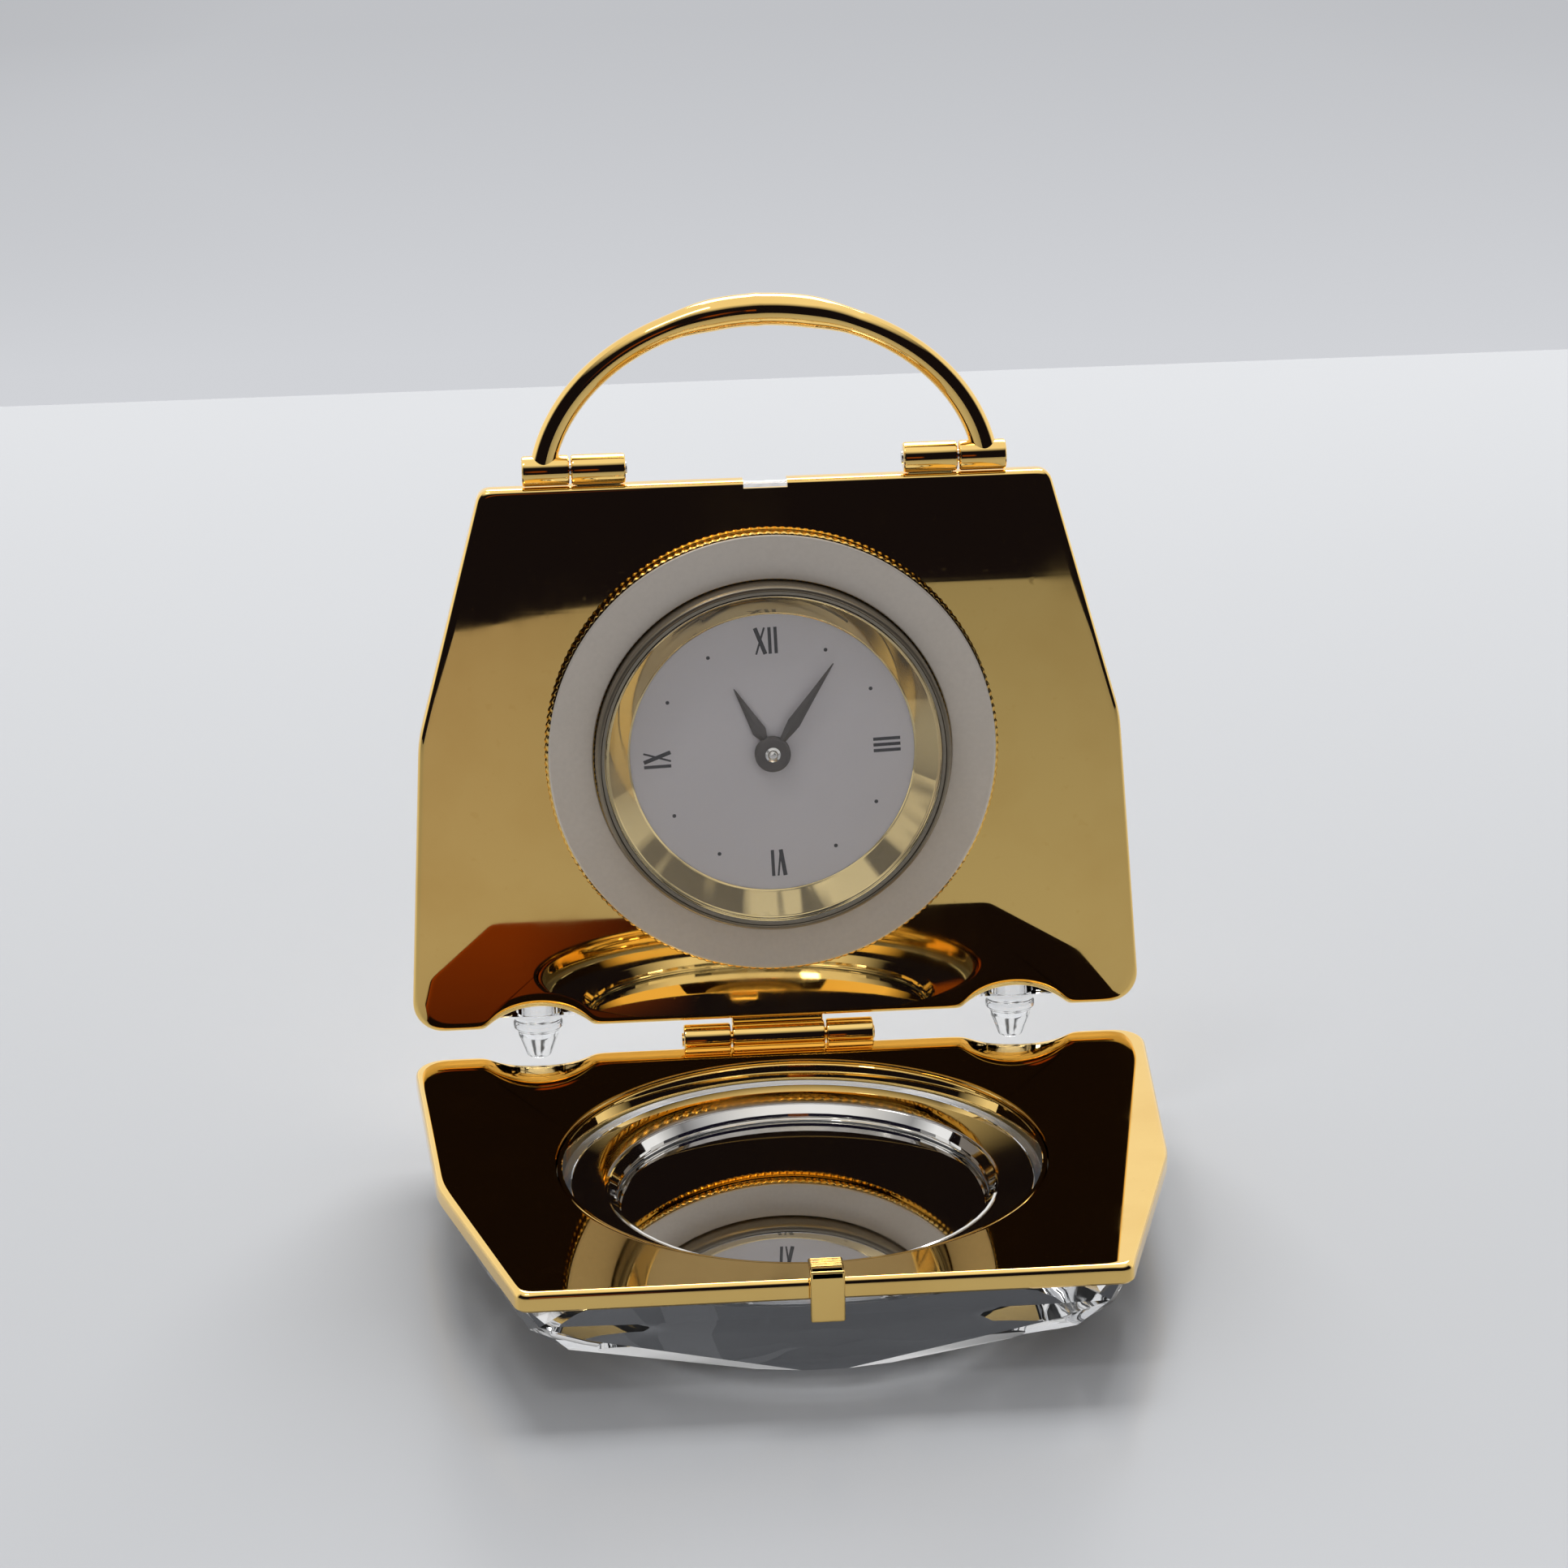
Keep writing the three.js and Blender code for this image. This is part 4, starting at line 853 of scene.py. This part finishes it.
def hull(points):
    """The convex solid round a set of points: one face for each flat facet."""
    shape = bmesh.new()
    for point in points:
        shape.verts.new(point)
    made = bmesh.ops.convex_hull(shape, input=shape.verts)
    loose = [v for v in made["geom_interior"] if isinstance(v, bmesh.types.BMVert)]
    bmesh.ops.delete(shape, geom=loose, context="VERTS")
    shape.verts.index_update()
    corners = np.array([v.co[:] for v in shape.verts])
    faces = np.array([[v.index for v in f.verts] for f in shape.faces if len(f.verts) == 3])
    shape.free()
    return corners, faces


def facet_ring(count, phase, inset, blend, z):
    """Facet corners round the bag: each lies on the ray from the clock centre at its own
    angle, part way (blend) from the inset bag outline to the table's circle."""
    outline = softened(bag_outline(720), 0.6) - 1j * CLOCK_Y
    order = np.argsort(np.angle(outline))
    angle = (2 * np.pi * (np.arange(count) + phase) / count + np.pi) % (2 * np.pi) - np.pi
    reach = np.interp(angle, np.angle(outline)[order], abs(outline)[order], period=2 * np.pi)
    radius = (reach - inset) * (1 - blend) + TABLE_RADIUS * blend
    spot = radius * np.exp(1j * angle)
    return np.stack([spot.real, spot.imag + CLOCK_Y, np.full(count, z)], -1)


def cut_crystal():
    """A cut crystal: the convex solid of six rings of corners, each turned half a step
    from the last, from the bag outline under the frame down to the round flat table."""
    corners = np.array(bag_corners())
    trimmed = []
    for step in (-1, 1):
        toward = np.roll(corners, step) - corners
        trimmed.append(corners + toward / abs(toward) * 2.4)
    top = np.concatenate(trimmed) - 1j * CLOCK_Y
    spot = top * (1 - 0.6 / abs(top))
    rings = [np.stack([spot.real, spot.imag + CLOCK_Y, np.full(len(top), CRYSTAL_TOP)], -1)]
    steps = ((0.5, 0.45, 0.05, -2.4), (0, 0.6, 0.12, -3.5), (0.5, 1.0, 0.28, -4.6),
             (0, 1.3, 0.55, -5.55), (0.5, 0, 1.0, -HALF_DEPTH))
    rings += [facet_ring(FACETS, *step) for step in steps]
    return hull(np.concatenate(rings))


class CrystalsOperator(bpy.types.Operator):
    """Add the two cut crystals, dished or bored behind the frames"""

    bl_idname = "bag_clock.crystals"
    bl_label = "Cut crystals"

    def execute(self, context):
        glass = finish("crystal")
        middle = Matrix.Translation((0, CLOCK_Y, 0))
        front = add_piece("front_crystal_cut", cut_crystal(), FRONT, "front_half", "crystal",
                          glass, ["front_crystal"], crease=5, flat=False)
        carve(front, "dish", moved(self.dish(), middle), FRONT)
        self.add_mirror(middle)
        back = add_piece("back_crystal_cut", cut_crystal(), BACK, "back_half", "crystal",
                         glass, ["back_crystal"], crease=5, flat=False)
        bore = lathe([[0, -5.5], [BORE_RADIUS, -5.5], [BORE_RADIUS, 1], [0, 1]], 180)
        carve(back, "bore", moved(bore, middle), BACK)
        crown_room = soft_block(11.8, 14.2, -1.34, 1.34, -5.0, -2.31, 0.05)
        carve(back, "crown_room", moved(crown_room, middle @ CLOCK_TURN), BACK)
        for side in (-1, 1):
            socket = moved(lathe([[0, -3], [1.56, -3], [1.56, 2.98], [0, 2.98]], 72),
                           foot_place(side))
            carve(front, "socket", socket, FRONT)
            carve(back, "socket", socket, BACK)
        for piece in (front, back):
            piece.data.shade_smooth()
            piece.data.set_sharp_from_angle(angle=math.radians(5.5))
        return {"FINISHED"}

    def dish(self):
        """The hollow for the mirror: a shallow cone under the window, then a straight well."""
        seat = CRYSTAL_TOP - 0.34
        well = WELL_RADIUS + 0.06
        outer = SURROUND_RADIUS + 0.06
        return lathe([[0, WELL_FLOOR], [well, WELL_FLOOR], [well, seat - SURROUND_DROP - 0.2],
                      [outer, seat], [outer, 1], [0, 1]], 208)

    def add_mirror(self, middle):
        """The silvered surround, with a ring of small facets at its inner edge and a turned
        lining down the well, and the bevelled round mirror at the bottom."""
        silver = finish("silver")
        low = CRYSTAL_TOP - SURROUND_DROP
        cone = lathe(eased([
            [10.95, low - 0.25], [11.1, low - 0.2], [SURROUND_RADIUS, CRYSTAL_TOP - 0.25],
            [SURROUND_RADIUS, CRYSTAL_TOP + 0.02], [11.35, low + 0.12], [11.0, low - 0.05],
            [10.95, low - 0.2]], 0.06), 256)
        facets = lathe([[10.92, low - 0.5], [11.04, low - 0.5], [11.22, low + 0.08],
                        [11.12, low + 0.12], [10.74, low - 0.3], [10.72, low - 0.48]], 56)
        lining = lathe(eased([
            [10.8, MIRROR_FRONT - 0.3], [10.92, MIRROR_FRONT - 0.3], [10.92, low - 0.3],
            [10.76, low - 0.3], [10.74, low - 0.42], [10.84, low - 0.5],
            [10.84, MIRROR_FRONT + 0.1], [10.72, MIRROR_FRONT], [10.8, MIRROR_FRONT - 0.2]],
            0.05), 256)
        parts = [moved(part, middle) for part in (cone, facets, lining)]
        add_piece("mirror_surround_ring", together(*parts), FRONT, "front_half", "mirror",
                  silver, ["mirror_surround"], crease=5.5, flat=False)
        glass = lathe(eased([[0, MIRROR_BACK], [MIRROR_RADIUS, MIRROR_BACK],
                             [MIRROR_RADIUS, MIRROR_FRONT - 0.12],
                             [MIRROR_RADIUS - 0.45, MIRROR_FRONT], [0, MIRROR_FRONT]], 0.02), 256)
        add_piece("round_mirror", moved(glass, middle), FRONT, "front_half", "mirror",
                  finish("mirror"), ["front_mirror"], crease=4, flat=False)


def foot_place(side):
    """Where a foot's own z axis lies: up the bag, at the scallop's middle."""
    spot = Matrix.Translation((side * SCALLOP_X, 0, -FOOT_DEPTH))
    return spot @ Matrix.Rotation(-math.pi / 2, 4, "X")


class FeetOperator(bpy.types.Operator):
    """Add the four clear cup feet"""

    bl_idname = "bag_clock.feet"
    bl_label = "Clear feet"

    def execute(self, context):
        wide = context.scene.bag_clock_sizes.foot_radius / MM
        profile = eased([
            [0, -1.42], [0.5, -1.5], [0.72, -1.4], [0.98, -0.7], [1.22, -0.1], [1.3, 0.28],
            [wide, 0.42], [wide, 0.75], [wide - 0.08, 0.85], [wide - 0.04, 2.9], [0, 2.9]], 0.09)
        for body, place in (("front_half", FRONT), ("back_half", BACK)):
            for side in (-1, 1):
                # the front half lies turned round, so its +x side is on the left
                left = (side < 0) == (body == "back_half")
                name = body.replace("half", "foot_") + ("left" if left else "right")
                foot = moved(lathe(profile, 72), foot_place(side))
                add_piece(name + "_cup", foot, place, body, "clear_foot", finish("clear_foot"),
                          [name], flat=False)
        return {"FINISHED"}


class HingeOperator(bpy.types.Operator):
    """Add the bottom hinge: two side knuckles, the centre knuckle and the pin"""

    bl_idname = "bag_clock.hinge"
    bl_label = "Book hinge"

    def knuckle(self, x0, x1):
        """A rolled barrel round the hinge axis with its leaf up into the frame."""
        leaf = soft_block(x0 + 0.05, x1 - 0.05, 0.3, 2.5, -0.86, -0.3, 0.1)
        curl = soft_block(x0 + 0.03, x1 - 0.03, 0.2, 1.2, -HINGE_RADIUS, -0.45, 0.15)
        return together(bar(HINGE_RADIUS, x0, x1, 0, 0, 0.16, 56), curl, leaf)

    def execute(self, context):
        gold = finish("gold")
        pieces = [("left", 2.9, 5.75, FRONT, "front_half"),
                  ("right", -5.75, -2.9, FRONT, "front_half"),
                  ("centre", -2.8, 2.8, BACK, "back_half")]
        for side, x0, x1, place, body in pieces:
            name = "hinge_knuckle_" + side
            add_piece(name + "_barrel", self.knuckle(x0, x1), place, body, "gold_plate", gold,
                      [name])
        pin = bar(HINGE_PIN_RADIUS, -5.85, 5.85, 0, 0, 0.06)
        add_piece("hinge_pin_rod", pin, FRONT, "front_half", "gold_plate", gold, ["hinge_pin"])
        return {"FINISHED"}


class HandleOperator(bpy.types.Operator):
    """Add the swinging handle with its lugs, knuckles, pins and grip"""

    bl_idname = "bag_clock.handle"
    bl_label = "Handle"

    def bow_path(self, start, end, count):
        """Points of the ellipse whose centre lies a little below the handle's axis."""
        rise = HANDLE_RISE + HANDLE_DROP
        span = HANDLE_HALF_SPAN / math.cos(math.asin(HANDLE_DROP / rise))
        angle = np.linspace(start, end, count)
        return np.stack([span * np.cos(angle), HANDLE_Y - HANDLE_DROP + rise * np.sin(angle),
                         np.full(count, HANDLE_Z)], -1)

    def execute(self, context):
        gold = finish("gold")
        low = math.asin(HANDLE_DROP / (HANDLE_RISE + HANDLE_DROP))
        bow = tube(self.bow_path(low + 0.03, math.pi - low - 0.03, 140), WIRE_RADIUS, 36)
        add_piece("handle_bow_wire", bow, BACK, "handle", "gold_plate", gold, ["handle_bow"])
        thick = context.scene.bag_clock_sizes.grip_radius / MM
        half = math.radians(25)
        share = np.linspace(-1, 1, 70)
        swell = np.clip((1 - abs(share)) / 0.55, 0, 1)
        swell = swell * swell * (3 - 2 * swell)
        band = 0.035 * np.exp(-((share - 0.05) / 0.05) ** 2)
        radius = WIRE_RADIUS + 0.01 + (thick - WIRE_RADIUS - 0.05) * swell + band
        grip = tube(self.bow_path(math.pi / 2 - half, math.pi / 2 + half, 70), radius, 36)
        add_piece("handle_grip_sleeve", grip, BACK, "handle", "gold_plate", gold, ["handle_grip"])
        for side, name in ((-1, "left"), (1, "right")):
            self.add_side(side, name, gold)
        return {"FINISHED"}

    def add_side(self, side, name, gold):
        """A lug on the frame, a knuckle on the handle, and the pin through both."""
        inner, outer = sorted((side * 8.2, side * 11.4))
        lug = together(
            bar(LUG_RADIUS, inner, outer, HANDLE_Y, HANDLE_Z, 0.18, 48),
            soft_block(inner + 0.25, outer - 0.25, TOP_EDGE - 0.1, HANDLE_Y, -0.9, -0.3, 0.1),
        )
        add_piece("handle_lug_" + name + "_barrel", lug, BACK, "back_half", "gold_plate", gold,
                  ["handle_lug_" + name])
        inner, outer = sorted((side * 11.5, side * 14.3))
        add_piece("handle_knuckle_" + name + "_barrel",
                  bar(LUG_RADIUS, inner, outer, HANDLE_Y, HANDLE_Z, 0.18, 48), BACK, "handle",
                  "gold_plate", gold, ["handle_knuckle_" + name])
        inner, outer = sorted((side * 8.1, side * 14.1))
        add_piece("handle_pin_" + name + "_rod",
                  bar(0.38, inner, outer, HANDLE_Y, HANDLE_Z, 0.08, 24), BACK, "back_half",
                  "steel", finish("steel"), ["handle_pin_" + name])


class ClaspOperator(bpy.types.Operator):
    """Add the clasp: a bevelled tab with a ribbed tongue, and its pin"""

    bl_idname = "bag_clock.clasp"
    bl_label = "Clasp"

    def execute(self, context):
        inner, outer = TOP_EDGE + 0.3, TOP_EDGE + 0.9
        ribs = [soft_block(-0.85, 0.85, y, y + 0.1, 0.84, 0.95, 0.03, 2)
                for y in TOP_EDGE + np.linspace(-0.85, 0.1, 6)]
        clasp = together(
            soft_block(-0.95, 0.95, inner, outer, -2.15, 0.9, 0.13),
            soft_block(-0.95, 0.95, TOP_EDGE - 1.0, outer, 0.4, 0.9, 0.1),
            soft_block(-0.55, 0.55, CLASP_AXIS_Y, inner + 0.3, -0.95, -0.35, 0.08),
            bar(0.42, -0.55, 0.55, CLASP_AXIS_Y, CLASP_AXIS_Z, 0.06, 24), *ribs)
        add_piece("clasp_tab", clasp, FRONT, "clasp", "gold_plate", finish("gold"),
                  ["clasp_hook"])
        pin = bar(0.22, -1.3, 1.3, CLASP_AXIS_Y, CLASP_AXIS_Z, 0.04, 20)
        add_piece("clasp_pin_rod", pin, FRONT, "front_half", "steel", finish("steel"),
                  ["clasp_pin"])
        return {"FINISHED"}


class ClockFaceOperator(bpy.types.Operator):
    """Add the beaded bezel, the satin ring, the glass in its raised rim, and the cone"""

    bl_idname = "bag_clock.face"
    bl_label = "Clock face rings"

    def execute(self, context):
        sizes = context.scene.bag_clock_sizes
        gold = finish("gold")
        bead = (sizes.bead_count, sizes.bead_depth / MM, 0.45, 0.78)
        inner = RING_INNER
        bezel = lathe([
            [inner, 0.06], [13.2, 0.06], [13.42, 0.1], [13.45, 0.2], [13.45, 0.42],
            [BEZEL_RADIUS, 0.48], [BEZEL_RADIUS, 0.66], [13.5, 0.74], [13.42, 0.8],
            [13.3, BEZEL_FRONT], [inner + 0.1, BEZEL_FRONT], [inner + 0.02, 0.78], [inner, 0.7],
        ], 6 * sizes.bead_count, bead)
        add_piece("bezel_beaded", bezel, CLOCK, "back_half", "gold_plate", gold,
                  ["knurled_bezel"], crease=50, flat=False)
        pale = lathe(eased([[inner + 0.1, 0.84], [inner + 0.04, 0.93], [inner + 0.1, 0.985],
                            [13.26, 0.985], [13.36, 0.93], [13.36, 0.84], [inner + 0.15, 0.84]],
                           0.03), 256)
        add_piece("pale_ring_satin", pale, CLOCK, "back_half", "pale_satin", finish("pale"),
                  ["pale_ring"])
        rim = lathe(eased([
            [10.42, 0.41], [RIM_NECK, 0.41], [RIM_NECK, GLASS_FRONT - 0.25],
            [RIM_NECK - 0.1, GLASS_FRONT - 0.02], [10.3, GLASS_FRONT + 0.02],
            [10.28, GLASS_FRONT - 0.1], [10.28, 1.68], [10.4, 1.4], [10.42, 0.5]], 0.08), 256)
        add_piece("glass_rim", rim, CLOCK, "back_half", "gold_plate", finish("rim"))
        # the cone takes the plate's gold darkened as painted shade
        cone = lathe(eased([
            [DIAL_OPENING, 0.41], [10.38, 0.41], [10.38, 1.66], [9.82, 1.66],
            [DIAL_OPENING + 0.1, 0.46], [DIAL_OPENING, 0.44], [DIAL_OPENING, 0.42]], 0.05), 256)
        add_piece("cone_polished", cone, CLOCK, "back_half", "gold_plate", finish("gold_cone_shaded"),
                  ["cone_ring"])
        glass = lathe(eased([[0, GLASS_BACK], [GLASS_RADIUS, GLASS_BACK],
                             [GLASS_RADIUS, GLASS_FRONT], [0, GLASS_FRONT]], 0.08), 160)
        add_piece("watch_glass", glass, CLOCK, "back_half", "dial_glass", finish("dial_glass"),
                  ["dial_glass"])
        seal = lathe(eased([
            [10.06, 1.75], [10.06, GLASS_FRONT - 0.04], [10.26, GLASS_FRONT - 0.04],
            [10.26, 1.72], [10.06, 1.72], [10.06, 1.73]], 0.04), 160)
        add_piece("glass_seal_ring", seal, CLOCK, "back_half", "seal_rubber", finish("gasket"),
                  ["glass_seal"])
        return {"FINISHED"}


def numeral_strokes(letters, height):
    """Strokes of a Roman numeral as (x0, y0, x1, y1, width), centred, reading upwards.
    An I is one upright, a V two slanting strokes, an X two crossed ones."""
    strokes, pen = [], 0.0
    thick, thin = 0.15 * height, 0.07 * height
    advance = {"I": 0.22 * height, "V": 0.40 * height, "X": 0.48 * height}
    top, bottom = height / 2, -height / 2
    for letter in letters:
        wide = advance[letter]
        left, right, middle = pen + thin, pen + wide - thin, pen + wide / 2
        if letter == "I":
            strokes.append((middle, bottom, middle, top, thick * 0.8))
        elif letter == "V":
            strokes.append((left, top, middle, bottom, thick))
            strokes.append((right, top, middle, bottom, thin))
        else:
            strokes.append((left, top, right, bottom, thick))
            strokes.append((right, top, left, bottom, thin))
        pen += wide
    half = pen / 2
    return [(x0 - half, y0, x1 - half, y1, width) for x0, y0, x1, y1, width in strokes]


def stroke_part(stroke, low, high):
    """A flat bar from one end of a stroke to the other, between two levels."""
    x0, y0, x1, y1, width = stroke
    start, end = x0 + 1j * y0, x1 + 1j * y1
    side = 1j * (end - start) / abs(end - start) * width / 2
    rim = np.array([start + side, start - side, end - side, end + side])
    return rim_part(rim, low, high)


def rim_part(rim, low, high):
    """A flat solid with the rim's outline, closed to its middle on both faces."""
    middle = np.full(len(rim), rim.mean())
    rows = [(middle, low), (rim, low), (rim, high), (middle, high)]
    grid = np.stack([np.stack([o.real, o.imag, np.full(len(rim), z)], -1) for o, z in rows], 1)
    return surface(grid, True, False)


class DialOperator(bpy.types.Operator):
    """Add the enamel dial with its printed Roman numerals and hour dots"""

    bl_idname = "bag_clock.dial"
    bl_label = "Dial"

    def execute(self, context):
        height = context.scene.bag_clock_sizes.numeral_height / MM
        plate = lathe(eased([
            [DIAL_HOLE, 0.22], [DIAL_HOLE, DIAL_FRONT], [DIAL_RADIUS, DIAL_FRONT],
            [DIAL_RADIUS, DIAL_BACK], [DIAL_HOLE, DIAL_BACK], [DIAL_HOLE, 0.2]], 0.02), 160)
        add_piece("dial_enamel_plate", plate, CLOCK, "back_half", "dial_enamel", finish("dial"),
                  ["dial"])
        low, high = DIAL_FRONT - 0.01, DIAL_FRONT + 0.012
        parts = []
        for hour in range(12):
            turn = Matrix.Rotation(-math.radians(30 * hour), 4, "Z")
            letters = {0: "XII", 3: "III", 6: "VI", 9: "IX"}.get(hour)
            if letters:
                # each numeral stands on the centre, its foot towards the hands
                for stroke in numeral_strokes(letters, height):
                    part = stroke_part(stroke, low, high)
                    parts.append(moved(part, turn @ Matrix.Translation((0, NUMERAL_RADIUS, 0))))
            else:
                dot = 1j * DOT_RADIUS + 0.115 * np.exp(2j * np.pi * np.arange(20) / 20)
                parts.append(moved(rim_part(dot, low, high), turn))
        add_piece("dial_printing", together(*parts), CLOCK, "back_half", "hand_black",
                  finish("ink"), flat=False)
        return {"FINISHED"}


class HandsOperator(bpy.types.Operator):
    """Add the two ridged leaf hands and the bright centre cap"""

    bl_idname = "bag_clock.hands"
    bl_label = "Hands"

    def leaf(self, length, width, low, angle):
        """A hand along y. Half its width is a leaf curve: the boss circle, then a slim neck
        swelling to width at a third of the length and tapering to a fine tip. Its top
        rises to a ridge along the middle."""
        along = np.linspace(0.9, length, 60)
        belly = 0.34 * length
        rise = np.clip((along - 0.9) / (belly - 0.9), 0, 1)
        fall = np.clip((along - belly) / (length - belly), 0, 1)
        half = np.where(along < belly, 0.2 + (width / 2 - 0.2) * (3 * rise ** 2 - 2 * rise ** 3),
                        (width / 2) * (1 - fall) ** 0.8 * (1 - 0.35 * fall) + 0.035)
        across = np.array([-1.0, -0.82, 0.0, 0.82, 1.0, 0.82, 0.0, -0.82])
        lift = np.array([0.04, 0.075, 0.16, 0.075, 0.04, 0.0, 0.0, 0.0])
        grid = np.stack([
            across[None, :] * half[:, None],
            np.broadcast_to(along[:, None], (60, 8)),
            low + np.broadcast_to(lift[None, :], (60, 8)),
        ], -1)
        ends = [np.broadcast_to(grid[k].mean(0), (1, 8, 3)) for k in (0, -1)]
        blade = surface(np.concatenate([ends[0], grid, ends[1]]), False, True)
        boss = lathe(eased([[0.45, low], [1.07, low], [1.07, low + 0.1], [0.95, low + 0.17],
                            [0.45, low + 0.17], [0.45, low + 0.05]], 0.04), 72)
        return moved(together(blade, boss), Matrix.Rotation(-angle, 4, "Z"))

    def execute(self, context):
        sizes = context.scene.bag_clock_sizes
        dark = finish("hands")
        hour = self.leaf(HOUR_HAND_LENGTH, HOUR_HAND_WIDTH, HOUR_HAND_BACK, sizes.hour_angle)
        add_piece("hour_hand_leaf", hour, CLOCK, "hour_pipe", "hand_black", dark, ["hour_hand"],
                  flat=False)
        minute = self.leaf(MINUTE_HAND_LENGTH, MINUTE_HAND_WIDTH, MINUTE_HAND_BACK,
                           sizes.minute_angle)
        add_piece("minute_hand_leaf", minute, CLOCK, "minute_arbor", "hand_black", dark,
                  ["minute_hand"], flat=False)
        top = MINUTE_HAND_BACK + 0.17
        cap = lathe(eased([[0, top - 0.16], [0.5, top - 0.16], [0.5, top - 0.04],
                           [0.3, top - 0.02], [0.24, top + 0.1], [0, top + 0.12]], 0.03), 48)
        add_piece("hand_cap", cap, CLOCK, "minute_arbor", "steel", finish("bright_pin"))
        return {"FINISHED"}


NODE_FINISHES = {
    "gold": ["clock_case", "setting_crown"],
    "rubber": ["case_seal", "mounting_ring"],
    "white": ["movement_holder"],
    "brass": ["main_plate", "gear_train_cover", "minute_wheel", "hour_wheel"],
    "steel": ["battery", "battery_clip", "motor_stator", "quartz_can", "case_back",
              "setting_stem", "cannon_pinion"],
    "copper": ["motor_coil"],
    "board": ["circuit_board"],
}


class MovementOperator(bpy.types.Operator):
    """Give the insert clock's case and movement parts their finishes"""

    bl_idname = "bag_clock.movement"
    bl_label = "Movement finishes"

    def execute(self, context):
        for name, nodes in NODE_FINISHES.items():
            material = finish(name)
            for node in nodes:
                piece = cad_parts[node]
                piece.data.materials.clear()
                piece.data.materials.append(material)
        return {"FINISHED"}


class BagClockPanel(bpy.types.Panel):
    """Lists the settings and the pieces of the handbag desk clock"""

    bl_idname = "VIEW3D_PT_bag_clock"
    bl_label = "Handbag Desk Clock"
    bl_space_type = "VIEW_3D"
    bl_region_type = "UI"
    bl_category = "Bag Clock"

    def draw(self, context):
        layout = self.layout
        for operator in OPERATORS:
            layout.operator(operator.bl_idname)
        for holder in ("bag_clock_sizes", "bag_clock_finish", "bag_clock_stage"):
            group = getattr(context.scene, holder)
            box = layout.box()
            for key in group.bl_rna.properties.keys():
                if key not in ("rna_type", "name"):
                    box.prop(group, key)


OPERATORS = (
    StageOperator, FramesOperator, CrystalsOperator, FeetOperator, HingeOperator,
    HandleOperator, ClaspOperator, ClockFaceOperator, DialOperator, HandsOperator,
    MovementOperator,
)
GROUPS = (BagClockSizes, BagClockFinish, BagClockStage)


def register():
    """Makes the settings, the operators and the panel known to Blender."""
    for item in (*GROUPS, *OPERATORS, BagClockPanel):
        bpy.utils.register_class(item)
    holder = bpy.types.Scene
    holder.bag_clock_sizes = bpy.props.PointerProperty(type=BagClockSizes)
    holder.bag_clock_finish = bpy.props.PointerProperty(type=BagClockFinish)
    holder.bag_clock_stage = bpy.props.PointerProperty(type=BagClockStage)


def unregister():
    """Takes away what register() added."""
    for name in ("bag_clock_sizes", "bag_clock_finish", "bag_clock_stage"):
        delattr(bpy.types.Scene, name)
    for item in (BagClockPanel, *reversed(OPERATORS), *reversed(GROUPS)):
        bpy.utils.unregister_class(item)


def main():
    """Registers the add-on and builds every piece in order."""
    register()
    for operator in OPERATORS:
        area, name = operator.bl_idname.split(".")
        getattr(getattr(bpy.ops, area), name)()


if __name__ == "__main__":
    main()
